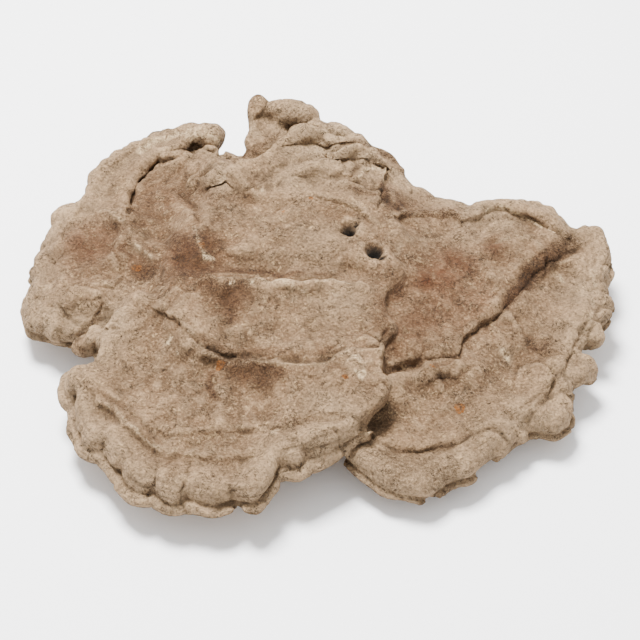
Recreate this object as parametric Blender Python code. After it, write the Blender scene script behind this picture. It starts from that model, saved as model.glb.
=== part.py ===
"""A large dry bracket fungus: one grown piece, a fan of fused shelves round a growth centre at the back.

Where it grew on wood it is cut off flat underneath, and it rests on that cut.
X runs to the right, Y to the back and Z up, with the origin at the middle of the cut.
Lengths and places below are millimetres, written from the middle of the whole fungus in plan. The last
step moves the origin to the middle of the cut, and MM turns millimetres into metres.
"""

from collections import namedtuple

import bmesh
import bpy
import numpy as np

MM = 0.001

# The form is sampled on a grid, turned into a mesh and thinned to this many triangles
GRID_STEP = 3.6
GRID_LOW = (-252.0, -194.0, -14.0)
GRID_HIGH = (252.0, 244.0, 136.0)
TRIANGLES = 9300

# Upper skin: a low dome that is highest near the growth centre
SKIRT_HEIGHT = 38.0
DOME_RISE = 32.0
DOME_CENTRE = (-30.0, 90.0)
DOME_REACH = (150.0, 110.0)

# Under side: it comes down from each rim to this height near the boss
UNDER_HEIGHT = 12.0
UNDER_REACH = 95.0
# No layer reaches below this height
BURIED_HEIGHT = 24.0

# Behind this place the front shelf sinks below the layers at the back, and grows softly out of them
HIDDEN_FROM = (-176.0, -48.0)
HIDDEN_RUN = (22.0, 30.0)
HIDDEN_SINK = 5.0
HIDDEN_BLEND = 26.0

# Boss: where it grew on the wood, cut off flat at z = 0
BOSS_CENTRE = (-10.0, 50.0)
BOSS_RADII = (130.0, 96.0)
BOSS_TAPER = 0.35
BOSS_TOP = 34.0
BOSS_BOTTOM = -8.0
BOSS_BLEND = 14.0

# Broad unevenness of the skin: how wide the swells are and how high
SWELLS = ((48.0, 3.0, 11), (24.0, 2.6, 12), (13.0, 1.6, 13))

# A shelf has an outline, the height of the middle of its rim (at the origin, and its slopes along X
# and Y), half its thickness at the rim, how far its skin lies above the dome, and how far in from the
# rim the skin reaches that height. Its lip is a thin edge below the rim's pillow: half its thickness,
# how far below the rim's middle it lies, and how far it stands out
Shelf = namedtuple("Shelf", "outline rim half lift reach lip_half lip_drop lip_out blend")
# A layer lies on the shelves: outline, height above the dome, slope of that height along X and Y,
# how deep it reaches, edge rounding, and how softly it grows out of what is below
Layer = namedtuple("Layer", "outline lift slope depth edge blend")
# A zone lies on one shelf, inside its rim ring: outline, step above the shelf, depth, edge and blend
Zone = namedtuple("Zone", "outline step depth edge blend")

LEFT_SHELF = Shelf(
    outline=(
        (-56, 178), (-70, 185), (-80, 188), (-85, 195), (-89, 206), (-98, 215), (-112, 219), (-121, 219),
        (-131, 220), (-145, 205), (-175, 193), (-192, 173), (-197, 152), (-202, 131), (-213, 116), (-223, 105),
        (-231, 88), (-236, 66), (-232, 56), (-235, 37), (-231, 12), (-221, 3), (-203, -3), (-190, -8),
        (-176, -8), (-160, -4), (-120, 0), (-60, 40), (-40, 120),
    ),
    rim=(44.2, 0.078, 0.105), half=14.0, lift=0.0, reach=36.0,
    lip_half=4.0, lip_drop=4.1, lip_out=1.5, blend=4.0,
)
FRONT_SHELF = Shelf(
    outline=(
        (-165, -12), (-175, -28), (-190, -38), (-195, -51), (-195, -66), (-187, -79), (-186, -92), (-181, -108),
        (-171, -119), (-157, -129), (-149, -145), (-136, -158), (-119, -165), (-102, -171), (-88, -171),
        (-75, -176), (-57, -175), (-41, -173), (-31, -158), (-25, -146), (-13, -144), (3, -135), (13, -130),
        (24, -123), (32, -114), (35, -107), (28, -98), (10, -80), (-20, -40), (-80, 0), (-130, 10),
    ),
    rim=(54.7, 0.074, 0.093), half=15.0, lift=0.0, reach=55.0,
    lip_half=5.0, lip_drop=4.0, lip_out=6.0, blend=2.0,
)
RIGHT_SHELF = Shelf(
    outline=(
        (-20, -60), (-8, -96), (8, -114), (24, -127), (45, -144), (64, -150), (80, -153), (95, -138),
        (110, -133), (125, -124), (132, -114), (141, -105), (151, -97), (162, -93), (176, -94), (187, -85),
        (192, -72), (193, -58), (207, -48), (219, -38), (211, -25), (205, -16), (214, -8), (222, 5), (229, 18),
        (232, 33), (229, 45), (232, 57), (239, 75), (236, 93), (229, 104), (214, 109), (205, 109), (199, 117),
        (187, 128), (171, 134), (150, 130), (136, 118), (123, 113), (108, 122), (96, 128), (90, 137),
        (76, 140), (30, 140), (-20, 90), (-40, 0),
    ),
    rim=(41.6, -0.042, 0.119), half=13.5, lift=-6.0, reach=55.0,
    lip_half=2.5, lip_drop=4.6, lip_out=2.0, blend=4.0,
)

FRONT_ZONE = Zone(
    outline=(
        (-172, -40), (-176, -57), (-170, -69), (-163, -80), (-152, -94), (-139, -107), (-124, -122), (-113, -132),
        (-96, -134), (-78, -136), (-60, -136), (-43, -132), (-36, -127), (-17, -128), (0, -125), (12, -121),
        (26, -113), (40, -104), (50, -92), (52, -80), (46, -66), (50, -54), (49, -42), (42, -34), (20, -20),
        (-20, 0), (-80, 20), (-140, 10), (-166, -14),
    ),
    step=5.0, depth=24.0, edge=7.5, blend=1.2,
)
RIGHT_ZONE = Zone(
    outline=(
        (30, -100), (47, -113), (56, -119), (73, -120), (87, -116), (103, -112), (118, -104), (127, -99),
        (140, -97), (150, -91), (157, -82), (165, -70), (178, -56), (187, -38), (191, -22), (199, -13),
        (205, 2), (213, 20), (216, 48), (219, 72), (216, 90), (204, 95), (192, 104), (176, 112), (100, 100),
        (40, 60), (20, -60),
    ),
    step=2.5, depth=20.0, edge=5.0, blend=1.5,
)

MIDDLE_LAYER = Layer(
    outline=(
        (-97, -34), (-89, -40), (-78, -48), (-66, -52), (-50, -52), (-32, -53), (-16, -53), (0, -52), (12, -47),
        (26, -43), (40, -40), (50, -34), (55, -24), (54, -12), (48, 2), (40, 14), (26, 21), (11, 23), (-8, 22),
        (-23, 21), (-37, 20), (-46, 24), (-57, 27), (-72, 26), (-90, 16), (-104, 0), (-106, -20),
    ),
    lift=11.0, slope=(0.02, 0.0), depth=60.0, edge=8.0, blend=2.0,
)
INNER_LAYER = Layer(
    outline=(
        (-97, -24), (-60, -40), (0, -40), (44, -30), (52, 6), (57, 30), (62, 70), (60, 110), (50, 130),
        (0, 150), (-50, 146), (-76, 124), (-104, 90), (-112, 50), (-110, 15), (-104, -10),
    ),
    lift=7.5, slope=(0.03, 0.02), depth=60.0, edge=6.5, blend=3.0,
)
# Behind this line the inner layer grows softly out of what is below
SOFT_FROM = 0.0
SOFT_LEFT = -64.0
SOFT_RUN = 40.0
SOFT_BLEND = 24.0
RIGHT_LAYER = Layer(
    outline=(
        (30, -30), (50, -50), (67, -43), (85, -39), (94, -35), (104, -36), (108, -24), (118, -12), (131, 0),
        (141, 14), (151, 25), (165, 44), (180, 58), (197, 76), (209, 90), (203, 106), (190, 122), (171, 131),
        (148, 129), (136, 120), (121, 118), (107, 122), (94, 128), (78, 136), (60, 138), (20, 80),
    ),
    lift=1.0, slope=(0.045, 0.0), depth=22.0, edge=4.0, blend=1.5,
)
# The right layer's broken face slants: where along X the slant starts, over what run, and how far it leans
SLANT_FROM = 132.0
SLANT_RUN = 24.0
SLANT_LEAN = 1.1
SLANT_FOOT = 9.0
ROLLED_RIM = Layer(
    outline=(
        (-87, 189), (-97, 193), (-107, 196), (-117, 183), (-135, 177), (-144, 165), (-152, 153), (-155, 134),
        (-156, 117), (-150, 100), (-176, 84), (-200, 96), (-214, 118), (-206, 133), (-195, 150), (-187, 168),
        (-169, 188), (-148, 208), (-131, 219), (-121, 213), (-111, 214), (-98, 212), (-90, 204),
    ),
    lift=14.0, slope=(0.12, 0.04), depth=24.0, edge=9.0, blend=2.0,
)

# Mound at the back: its skin is a sloping plane with ridges on it, and its back is a steep torn face
MOUND_OUTLINE = (
    (-62, 140), (-60, 156), (-62, 174), (-58, 187), (-56, 199), (-48, 204), (-40, 199), (-30, 202), (-18, 201),
    (-6, 193), (2, 188), (11, 186), (21, 181), (33, 174), (45, 169), (56, 164), (65, 157), (66, 146), (60, 122),
    (40, 106), (0, 98), (-40, 96), (-62, 112), (-70, 126),
)
MOUND_HEIGHT = 83.0
MOUND_ORIGIN = (-20.0, 100.0)
MOUND_SLOPE = (-0.13, 0.13)
MOUND_EDGE = 9.0
MOUND_BLEND = 6.0
# Its torn back is layered: how far the layers stand out, how wide they are, and how much wider than high
TORN_DEPTH = 6.0
TORN_SIZE = 17.0
TORN_STRETCH = 2.2

# Ridges, as rounded bars: line, radius and how softly they grow out of what is below
RIDGES = (
    (((-64, 144, 72), (-50, 156, 82), (-31, 169, 89), (-7, 177, 91), (12, 171, 88), (27, 166, 82)), 12.0, 2.5),
    (((-50, 183, 86), (-51, 199, 102)), 9.5, 4.0),
    (((-33, 195, 98), (-14, 189, 95)), 13.0, 4.0),
    (((12, 184, 82), (32, 166, 80)), 11.0, 4.0),
    (((16, 153, 83), (34, 158, 81), (50, 150, 75)), 9.5, 2.0),
    (((-18, 132, 79), (2, 139, 82), (20, 136, 80)), 9.5, 2.0),
    (((34, 141, 78), (51, 136, 73)), 8.0, 1.0),
    (((28, 126, 75), (40, 124, 73)), 5.0, 0.8),
    (((10, 110, 70), (27, 110, 69), (43, 111, 64)), 11.5, 2.5),
    (((30, 171, 78), (45, 165, 77), (58, 159, 75)), 6.0, 2.0),
    (((60, 148, 66), (70, 138, 50)), 9.0, 8.0),
    (((128, 115, 50), (150, 118, 53), (170, 115, 52), (189, 103, 47)), 13.0, 2.5),
    (((70, 116, 54), (96, 104, 55), (118, 96, 55)), 9.0, 7.0),
    (((-160, 60, 52), (-150, 90, 56), (-152, 110, 56)), 9.0, 9.0),
    (((-196, 60, 42), (-204, 90, 44), (-196, 120, 46)), 10.0, 9.0),
    (((-94, 140, 64), (-104, 166, 62), (-122, 176, 60)), 9.0, 7.0),
    (((56, -64, 33), (72, -57, 33), (90, -53, 33), (108, -50, 33), (121, -36, 33), (133, -22, 33), (145, -8, 33),
      (157, 5, 32)), 16.0, 9.0),
)

# Lumps that stand out: middle, then radii
LUMPS = (
    ((-74, 138, 68), (23, 17, 12)),
    ((48, -18, 58), (11, 11, 10)),
    ((43, -47, 48), (11, 12, 10)),
    ((30, -58, 56), (16, 11, 9)),
    ((-181, -14, 35), (11, 9, 11)),
    ((-169, -12, 40), (13, 12, 12)),
    ((-213, 28, 32), (15, 14, 12)),
    ((-200, 6, 32), (14, 11, 12)),
    ((84, 129, 46), (15, 12, 12)),
    ((70, 131, 47), (9, 8, 9)),
    ((102, 119, 46), (13, 11, 12)),
    ((121, 111, 47), (8, 8, 8)),
    ((202, -35, 28), (11, 11, 12)),
    ((168, -77, 26), (16, 13, 12)),
    ((149, -95, 24), (6, 6, 7)),
    ((128, -102, 23), (11, 10, 11)),
    ((226, 90, 38), (9, 11, 9)),
    ((212, -3, 33), (9, 8, 10)),
    ((218, 30, 36), (9, 10, 9)),
    ((222, 56, 38), (8, 9, 8)),
    ((-94, 205, 62), (14, 12, 14)),
    ((-131, 208, 54), (12, 10, 11)),
)
LUMP_BLEND = 3.5
# Solid middle below the shelves and the mound
CORE_MIDDLE = (5.0, 85.0, 40.0)
CORE_RADII = (90.0, 75.0, 26.0)

# Creases in the upper skin that part its forms: line, width and depth
CREASES = (
    (((-84, 187), (-97, 192), (-107, 195), (-116, 181), (-135, 176), (-143, 164), (-151, 152), (-154, 133),
      (-155, 117)), 3.6, 8.0),
    (((-168, 20), (-168, 10), (-174, 2), (-180, -3), (-189, -10), (-194, -14)), 3.0, 6.0),
    (((-112, 126), (-104, 112), (-96, 95)), 4.0, 3.0),
    (((-50, 150), (-36, 166), (-14, 178)), 5.0, 4.0),
    (((-30, 138), (-12, 146), (8, 147), (20, 140)), 4.0, 3.0),
    (((-86, 36), (-57, 37), (-37, 30), (-10, 32), (12, 32), (28, 28)), 8.0, 6.0),
    (((-89, -36), (-68, -49), (-53, -50), (-18, -51), (1, -50), (18, -41), (30, -40), (44, -36)), 4.0, 4.5),
    (((-171, -68), (-164, -78), (-153, -91), (-139, -105), (-124, -121), (-113, -129), (-82, -132), (-60, -135),
      (-38, -127), (0, -123), (24, -112)), 4.0, 2.5),
    (((47, -109), (54, -115), (73, -116), (103, -108), (118, -97), (126, -95), (136, -104)), 3.5, 3.5),
    (((176, -62), (165, -78), (150, -92)), 4.0, 3.0),
)

# Pits and holes in the upper skin: middle, radius and depth
PITS = (
    ((23, 76), 6.0, 13.0),
    ((42, 53), 6.0, 12.0),
    ((-89, 159), 8.0, 6.0),
    ((-139, 86), 6.0, 4.0),
    ((-180, -71), 6.0, 5.0),
    ((56, 128), 7.0, 6.0),
)

# Where the scallops of a rim meet, as directions in degrees seen from the middle of its shelf
FRONT_SCALLOPS = dict(
    centre=(-70.0, -40.0), depth=4.5, band=18.0,
    meets=(-196, -181, -164, -149, -138, -127, -112, -101, -85.5, -67, -57, -44),
)
LEFT_SCALLOPS = dict(
    centre=(-120.0, 80.0), depth=2.6, band=13.0,
    meets=(-160, -168, -176, -184, -190, -197, -203, -209, -215, -221, -227, -234, -241, -248, -256, -264),
)
RIGHT_SCALLOPS = dict(
    centre=(110.0, -10.0), depth=4.0, band=15.0,
    meets=(-44, -36, -28, -14, -6, 2, 9, 15, 21, 27, 33, 40, 47),
)


def smooth_step(value):
    value = np.clip(value, 0.0, 1.0)
    return value * value * (3.0 - 2.0 * value)


def join(a, b, blend):
    """The union of two forms, with a fillet about as wide as blend where they meet."""
    share = np.clip(0.5 + 0.5 * (b - a) / blend, 0.0, 1.0)
    return b * (1.0 - share) + a * share - blend * share * (1.0 - share)


def smooth_outline(points, pieces=5):
    """A closed curve through the points, as a fine polygon."""
    points = np.array(points, float)
    before, after, beyond = (np.roll(points, shift, axis=0) for shift in (1, -1, -2))
    curve = []
    for t in np.arange(pieces) / pieces:
        curve.append(
            0.5 * (2 * points + (after - before) * t
                   + (2 * before - 5 * points + 4 * after - beyond) * t**2
                   + (3 * points - before - 3 * after + beyond) * t**3)
        )
    return np.stack(curve, axis=1).reshape(-1, 2)


def line_distance(x, y, points):
    """How far each place is from an open line of points."""
    nearest = np.full(x.shape, 1e18)
    for (ax, ay), (bx, by) in zip(points[:-1], points[1:]):
        along = ((x - ax) * (bx - ax) + (y - ay) * (by - ay)) / ((bx - ax) ** 2 + (by - ay) ** 2)
        along = np.clip(along, 0.0, 1.0)
        gap = (x - ax - along * (bx - ax)) ** 2 + (y - ay - along * (by - ay)) ** 2
        nearest = np.minimum(nearest, gap)
    return np.sqrt(nearest)


def outline_distance(x, y, points):
    """Signed distance to a closed smooth outline, negative inside it."""
    curve = smooth_outline(points)
    ring = np.vstack([curve, curve[:1]])
    inside = np.zeros(x.shape, bool)
    for (ax, ay), (bx, by) in zip(ring[:-1], ring[1:]):
        if ay != by:
            crosses = ((ay > y) != (by > y)) & (x < (bx - ax) * (y - ay) / (by - ay) + ax)
            inside ^= crosses
    distance = line_distance(x, y, ring)
    return np.where(inside, -distance, distance)


def wave(x, y, z, size, seed):
    """Smooth random swells about size wide, between -1 and 1."""
    count = 24
    table = np.random.default_rng(seed).uniform(-1.0, 1.0, (count, count, count))
    cells, parts = [], []
    for axis in (0.8 * x + 0.6 * y, 0.8 * y - 0.6 * x, z + 0.0 * x):
        place = axis / size + 50.0
        cells.append(np.floor(place).astype(int))
        parts.append(smooth_step(place - np.floor(place)))
    total = 0.0
    for corner in np.ndindex(2, 2, 2):
        weight = 1.0
        for part, side in zip(parts, corner):
            weight = weight * (part if side else 1.0 - part)
        index = tuple((cell + side) % count for cell, side in zip(cells, corner))
        total = total + weight * table[index]
    return total


def dome(x, y):
    across = (x - DOME_CENTRE[0]) / DOME_REACH[0]
    along = (y - DOME_CENTRE[1]) / DOME_REACH[1]
    return SKIRT_HEIGHT + DOME_RISE * np.exp(-0.5 * (across**2 + along**2))


def scallop_notch(x, y, centre, depth, band, meets):
    """How far a rim is pulled in: 0 at the middle of each scallop, depth where two scallops meet."""
    angle = np.degrees(np.arctan2(y - centre[1], x - centre[0]))
    ends = np.sort(np.array(meets, float))
    angle = np.where(angle > ends[-1], angle - 360.0, angle)
    index = np.clip(np.searchsorted(ends, angle) - 1, 0, len(ends) - 2)
    share = (angle - ends[index]) / (ends[index + 1] - ends[index])
    round_top = np.sqrt(np.clip(np.sin(np.pi * np.clip(share, 0.0, 1.0)), 0.0, 1.0))
    in_range = (share > 0.0) & (share < 1.0)
    return depth * np.where(in_range, 1.0 - round_top, 0.0)


def slab(z, distance, top, bottom, edge):
    """A flat body between two heights with a rounded edge along its outline."""
    edge = np.minimum(edge, 0.48 * np.maximum(top - bottom, 1.0))
    out = distance + edge
    over = np.maximum(z - top, bottom - z) + edge
    inside = np.minimum(np.maximum(out, over), 0.0)
    return inside + np.hypot(np.maximum(out, 0.0), np.maximum(over, 0.0)) - edge


def rim_height(shelf, x, y):
    return shelf.rim[0] + shelf.rim[1] * x + shelf.rim[2] * y


def hidden_share(x, y):
    """1 where the front shelf lies below the layers at the back, 0 where its rim is seen."""
    across = smooth_step((x - HIDDEN_FROM[0]) / HIDDEN_RUN[0])
    along = smooth_step((y - HIDDEN_FROM[1]) / HIDDEN_RUN[1])
    return across * along


def shelf_form(x, y, z, shelf, scallops):
    """One shelf: a pillow along its rim, with a thin lip below. Returns its field and its skin's height."""
    distance = outline_distance(x, y, shelf.outline)
    rim = rim_height(shelf, x, y)
    skin_share = smooth_step(-distance / shelf.reach)
    under_share = smooth_step(-distance / UNDER_REACH)
    notch = scallop_notch(x, y, **scallops)
    notch = notch * (1.0 - smooth_step((-distance - 0.5 * scallops["band"]) / (0.5 * scallops["band"])))
    top = (rim + shelf.half) * (1.0 - skin_share) + (dome(x, y) + shelf.lift) * skin_share - 0.8 * notch
    lip_low = rim - shelf.lip_drop - shelf.lip_half
    bottom = lip_low * (1.0 - under_share) + UNDER_HEIGHT * under_share
    pillow = slab(z, distance + shelf.lip_out + notch, top, bottom, shelf.half)
    lip = slab(z, distance + 0.6 * notch, lip_low + 2.0 * shelf.lip_half, bottom, shelf.lip_half)
    return join(pillow, lip, 1.5), top


def layer_top(x, y, layer):
    lift = layer.lift + layer.slope[0] * (x - layer.outline[0][0]) + layer.slope[1] * (y - layer.outline[0][1])
    return dome(x, y) + np.maximum(lift, 0.0)


def layer_form(x, y, z, layer):
    """One layer that lies on the shelves and reaches down into them."""
    top = layer_top(x, y, layer)
    bottom = np.maximum(top - layer.depth, BURIED_HEIGHT)
    return slab(z, outline_distance(x, y, layer.outline), top, bottom, layer.edge)


def slanted_layer_form(x, y, z, layer):
    """A layer whose face leans back toward its right end. Its outline is the foot of that face."""
    top = layer_top(x, y, layer)
    bottom = np.maximum(top - layer.depth, BURIED_HEIGHT)
    lean = SLANT_LEAN * smooth_step((x - SLANT_FROM) / SLANT_RUN)
    distance = outline_distance(x, y, layer.outline) + lean * (z - top + SLANT_FOOT)
    return slab(z, distance, top, bottom, layer.edge)


def zone_form(x, y, z, zone, shelf_top):
    """The part of a shelf inside its rim ring, a step above the ring."""
    distance = outline_distance(x, y, zone.outline)
    top = shelf_top + zone.step
    return slab(z, distance, top, top - zone.depth, zone.edge)


def mound_form(x, y, z):
    top = (MOUND_HEIGHT + MOUND_SLOPE[0] * (x - MOUND_ORIGIN[0]) + MOUND_SLOPE[1] * (y - MOUND_ORIGIN[1]))
    below = smooth_step((top - z - MOUND_EDGE) / TORN_SIZE)
    torn = TORN_DEPTH * below * wave(x / TORN_STRETCH, y / TORN_STRETCH, z, TORN_SIZE, 15)
    distance = outline_distance(x, y, MOUND_OUTLINE) + torn
    return slab(z, distance, top, UNDER_HEIGHT, MOUND_EDGE)


def boss_form(x, y, z):
    """The stump of tissue that held the fungus to the wood, wider at the top."""
    across = (x - BOSS_CENTRE[0]) / BOSS_RADII[0]
    along = (y - BOSS_CENTRE[1]) / BOSS_RADII[1]
    distance = (np.hypot(across, along) - 1.0) * min(BOSS_RADII)
    return np.maximum(distance - BOSS_TAPER * z, np.maximum(z - BOSS_TOP, BOSS_BOTTOM - z))


def bar_distance(x, y, z, points):
    """How far each place is from an open line of points in space."""
    nearest = np.full(np.broadcast(x, y, z).shape, 1e18)
    for a, b in zip(np.array(points[:-1], float), np.array(points[1:], float)):
        run = b - a
        along = ((x - a[0]) * run[0] + (y - a[1]) * run[1] + (z - a[2]) * run[2]) / max(run @ run, 1e-9)
        along = np.clip(along, 0.0, 1.0)
        gap = ((x - a[0] - along * run[0]) ** 2 + (y - a[1] - along * run[1]) ** 2
               + (z - a[2] - along * run[2]) ** 2)
        nearest = np.minimum(nearest, gap)
    return np.sqrt(nearest)


def lump_form(x, y, z, middle, radii):
    spread = np.sqrt(sum(((axis - at) / radius) ** 2 for axis, at, radius in zip((x, y, z), middle, radii)))
    return (spread - 1.0) * min(radii)


def add_locally(form, places, low, high, blend, shape):
    """Joins a small shape to the form, only at the places that it can change."""
    near = np.ones(form.shape, bool)
    for axis, least, most in zip(places, low, high):
        near &= (axis > least - 2.0 * blend) & (axis < most + 2.0 * blend)
    form[near] = join(form[near], shape(*(axis[near] for axis in places)), blend)


def carve(x, y, z):
    """How deep the creases and pits go into the upper skin."""
    depth = np.zeros(x.shape)
    for points, width, deep in CREASES:
        depth = np.maximum(depth, deep * np.exp(-((line_distance(x, y, points) / width) ** 2)))
    for (at_x, at_y), radius, deep in PITS:
        depth = np.maximum(depth, deep * np.exp(-((np.hypot(x - at_x, y - at_y) / radius) ** 4)))
    return depth * smooth_step((z - 0.5 * dome(x, y)) / 12.0)


def fungus_form(x, y, z):
    """The whole fungus as a field that is negative inside it."""
    right, right_top = shelf_form(x, y, z, RIGHT_SHELF, RIGHT_SCALLOPS)
    left, _ = shelf_form(x, y, z, LEFT_SHELF, LEFT_SCALLOPS)
    hidden = hidden_share(x, y)
    sunk = z + HIDDEN_SINK * hidden
    front, front_top = shelf_form(x, y, sunk, FRONT_SHELF, FRONT_SCALLOPS)

    form = join(right, zone_form(x, y, z, RIGHT_ZONE, right_top), RIGHT_ZONE.blend)
    form = join(form, slanted_layer_form(x, y, z, RIGHT_LAYER), RIGHT_LAYER.blend)
    form = join(form, left, LEFT_SHELF.blend)
    form = join(form, layer_form(x, y, z, ROLLED_RIM), ROLLED_RIM.blend)
    form = join(form, front, FRONT_SHELF.blend + HIDDEN_BLEND * hidden)
    zone = zone_form(x, y, sunk, FRONT_ZONE, front_top)
    form = join(form, zone, FRONT_ZONE.blend + HIDDEN_BLEND * hidden)
    at_back = smooth_step((y - SOFT_FROM) / SOFT_RUN)
    at_left = smooth_step((SOFT_LEFT - x) / SOFT_RUN)
    softness = SOFT_BLEND * np.maximum(at_back, at_left)
    form = join(form, layer_form(x, y, z, INNER_LAYER), INNER_LAYER.blend + softness)
    form = join(form, layer_form(x, y, z, MIDDLE_LAYER), MIDDLE_LAYER.blend + SOFT_BLEND * at_left)
    form = join(form, mound_form(x, y, z), MOUND_BLEND)
    form = np.minimum(form, lump_form(x, y, z, CORE_MIDDLE, CORE_RADII))
    places = np.broadcast_arrays(x, y, z)
    for points, radius, blend in RIDGES:
        low, high = np.min(points, axis=0) - radius, np.max(points, axis=0) + radius
        add_locally(form, places, low, high, blend, lambda *at: bar_distance(*at, points) - radius)
    for middle, radii in LUMPS:
        low, high = np.subtract(middle, radii), np.add(middle, radii)
        add_locally(form, places, low, high, LUMP_BLEND, lambda *at: lump_form(*at, middle, radii))
    form = join(form, boss_form(x, y, z), BOSS_BLEND)
    for size, height, seed in SWELLS:
        form = form + height * wave(x, y, z, size, seed)
    return form + carve(x, y, z)


def fill_cavities(values):
    """Fills every hollow that has no way out to the space around the form."""
    empty = values >= 0.0
    outside = np.zeros(values.shape, bool)
    outside[:, :, -1] = empty[:, :, -1]
    reached = 0
    while outside.sum() > reached:
        reached = outside.sum()
        for axis in range(3):
            for flip in (slice(None), slice(None, None, -1)):
                view = np.moveaxis(outside, axis, 0)[flip]
                free = np.moveaxis(empty, axis, 0)[flip]
                for here in range(1, len(view)):
                    view[here] |= view[here - 1] & free[here]
    return np.where(empty & ~outside, -0.02, values)


def close_pinholes(values, step):
    """Fills grid corners that would leave the skin touching itself along an edge or at a point."""
    for _ in range(12):
        inside = values < 0.0
        fill = np.zeros(values.shape, bool)
        for one, two in ((0, 1), (0, 2), (1, 2)):
            corners = []
            for shift in ((0, 0), (1, 0), (0, 1), (1, 1)):
                cut = [slice(None)] * 3
                cut[one] = slice(shift[0], values.shape[one] - 1 + shift[0])
                cut[two] = slice(shift[1], values.shape[two] - 1 + shift[1])
                corners.append(tuple(cut))
            a, b, c, d = (inside[corner] for corner in corners)
            crossed = (a & d & ~b & ~c) | (b & c & ~a & ~d)
            for corner in corners:
                fill[corner] |= crossed
        fill &= ~inside
        if not fill.any():
            break
        values = np.where(fill, -0.02 * step, values)
    return values


def skin_of(values, low, step):
    """Surface nets: one point in each grid cell that the skin passes through, and a quad for each crossed edge."""
    shape = np.array(values.shape)
    cells = tuple(shape - 1)
    total = np.zeros(cells + (3,))
    count = np.zeros(cells)
    crossings = []
    for axis in range(3):
        first, second = [slice(None)] * 3, [slice(None)] * 3
        first[axis], second[axis] = slice(0, -1), slice(1, None)
        a, b = values[tuple(first)], values[tuple(second)]
        crossed = (a < 0.0) != (b < 0.0)
        crossings.append((crossed, a < 0.0))
        where = np.argwhere(crossed)
        place = where.astype(float)
        place[:, axis] += (a[crossed] / (a[crossed] - b[crossed]))
        others = [other for other in range(3) if other != axis]
        for shift in np.ndindex(2, 2):
            cell = where.copy()
            cell[:, others[0]] -= shift[0]
            cell[:, others[1]] -= shift[1]
            valid = (cell >= 0).all(axis=1) & (cell < np.array(cells)).all(axis=1)
            index = tuple(cell[valid].T)
            np.add.at(total, index, place[valid])
            np.add.at(count, index, 1.0)
    used = count > 0
    number = np.full(cells, -1)
    number[used] = np.arange(used.sum())
    points = total[used] / count[used][:, None] * step + np.array(low)

    quads = []
    for axis, (crossed, starts_inside) in enumerate(crossings):
        others = [other for other in range(3) if other != axis]
        where = np.argwhere(crossed)
        starts = starts_inside[crossed]
        ring = []
        for shift in ((0, 0), (1, 0), (1, 1), (0, 1)):
            cell = where.copy()
            cell[:, others[0]] -= shift[0]
            cell[:, others[1]] -= shift[1]
            ring.append(number[tuple(cell.T)])
        quad = np.stack(ring, axis=1)
        turn = starts if axis != 1 else ~starts
        quads.append(np.where(turn[:, None], quad, quad[:, ::-1]))
    return points, np.concatenate(quads)


def sampled_form(step):
    """The form on a grid over the whole fungus, with the grid's lowest corner."""
    axes = [np.arange(low, high + step, step) for low, high in zip(GRID_LOW, GRID_HIGH)]
    x, y, z = axes[0][:, None, None], axes[1][None, :, None], axes[2][None, None, :]
    x, y = x + 0.0 * y, y + 0.0 * x
    return close_pinholes(fill_cavities(fungus_form(x, y, z)), step), [axis[0] for axis in axes]


def thinned(mesh, triangles):
    """The mesh with about this many triangles."""
    helper = bpy.data.objects.new("helper", mesh)
    bpy.context.collection.objects.link(helper)
    modifier = helper.modifiers.new("Thin", "DECIMATE")
    modifier.ratio = triangles / (2.0 * len(mesh.polygons))
    modifier.use_collapse_triangulate = True
    graph = bpy.context.evaluated_depsgraph_get()
    thin = bpy.data.meshes.new_from_object(helper.evaluated_get(graph))
    bpy.data.objects.remove(helper)
    return thin


def cut_flat(mesh):
    """Cuts the boss off at z = 0 and closes the cut with a flat face."""
    body = bmesh.new()
    body.from_mesh(mesh)
    everything = body.verts[:] + body.edges[:] + body.faces[:]
    cut = bmesh.ops.bisect_plane(
        body, geom=everything, dist=0.05 * MM, plane_co=(0, 0, 0), plane_no=(0, 0, 1), clear_inner=True
    )
    edges = [item for item in cut["geom_cut"] if isinstance(item, bmesh.types.BMEdge)]
    bmesh.ops.contextual_create(body, geom=edges)
    bmesh.ops.triangulate(body, faces=body.faces[:])
    body.to_mesh(mesh)
    body.free()


def fungus_material():
    material = bpy.data.materials.new("fungus")
    material.use_nodes = True
    shader = material.node_tree.nodes["Principled BSDF"]
    shader.inputs["Base Color"].default_value = (0.445, 0.332, 0.238, 1.0)
    shader.inputs["Roughness"].default_value = 0.9
    shader.inputs["Metallic"].default_value = 0.0
    return material


def make_bracket():
    values, low = sampled_form(GRID_STEP)
    points, quads = skin_of(values, low, GRID_STEP)
    mesh = bpy.data.meshes.new("bracket_sampled")
    points = (points - np.array(BOSS_CENTRE + (0.0,))) * MM
    mesh.from_pydata(points.tolist(), [], quads.tolist())
    mesh = thinned(mesh, TRIANGLES)
    cut_flat(mesh)
    mesh.name = "bracket"
    mesh.materials.clear()
    mesh.materials.append(fungus_material())
    mesh.shade_smooth()
    bracket = bpy.data.objects.new("bracket", mesh)
    bpy.context.collection.objects.link(bracket)
    return bracket


for leftover in list(bpy.data.objects):
    bpy.data.objects.remove(leftover)
make_bracket()
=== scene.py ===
"""The dressed look of a large dry bracket fungus, on a plain pale floor.

The body is one mesh. It starts from the same named form as the solid model, sampled coarsely. Then it
is divided finer where it is seen, settled on the detailed form, and given its welts, creases, cracks
and grain.
Lengths are millimetres, written from the middle of the whole fungus in plan, unless a name says
otherwise.
A place given as a photo pixel is where the camera's ray through that pixel meets the skin.
"""

from collections import namedtuple

import bmesh
import bpy
import numpy as np
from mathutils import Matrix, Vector
from mathutils.bvhtree import BVHTree


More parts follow.
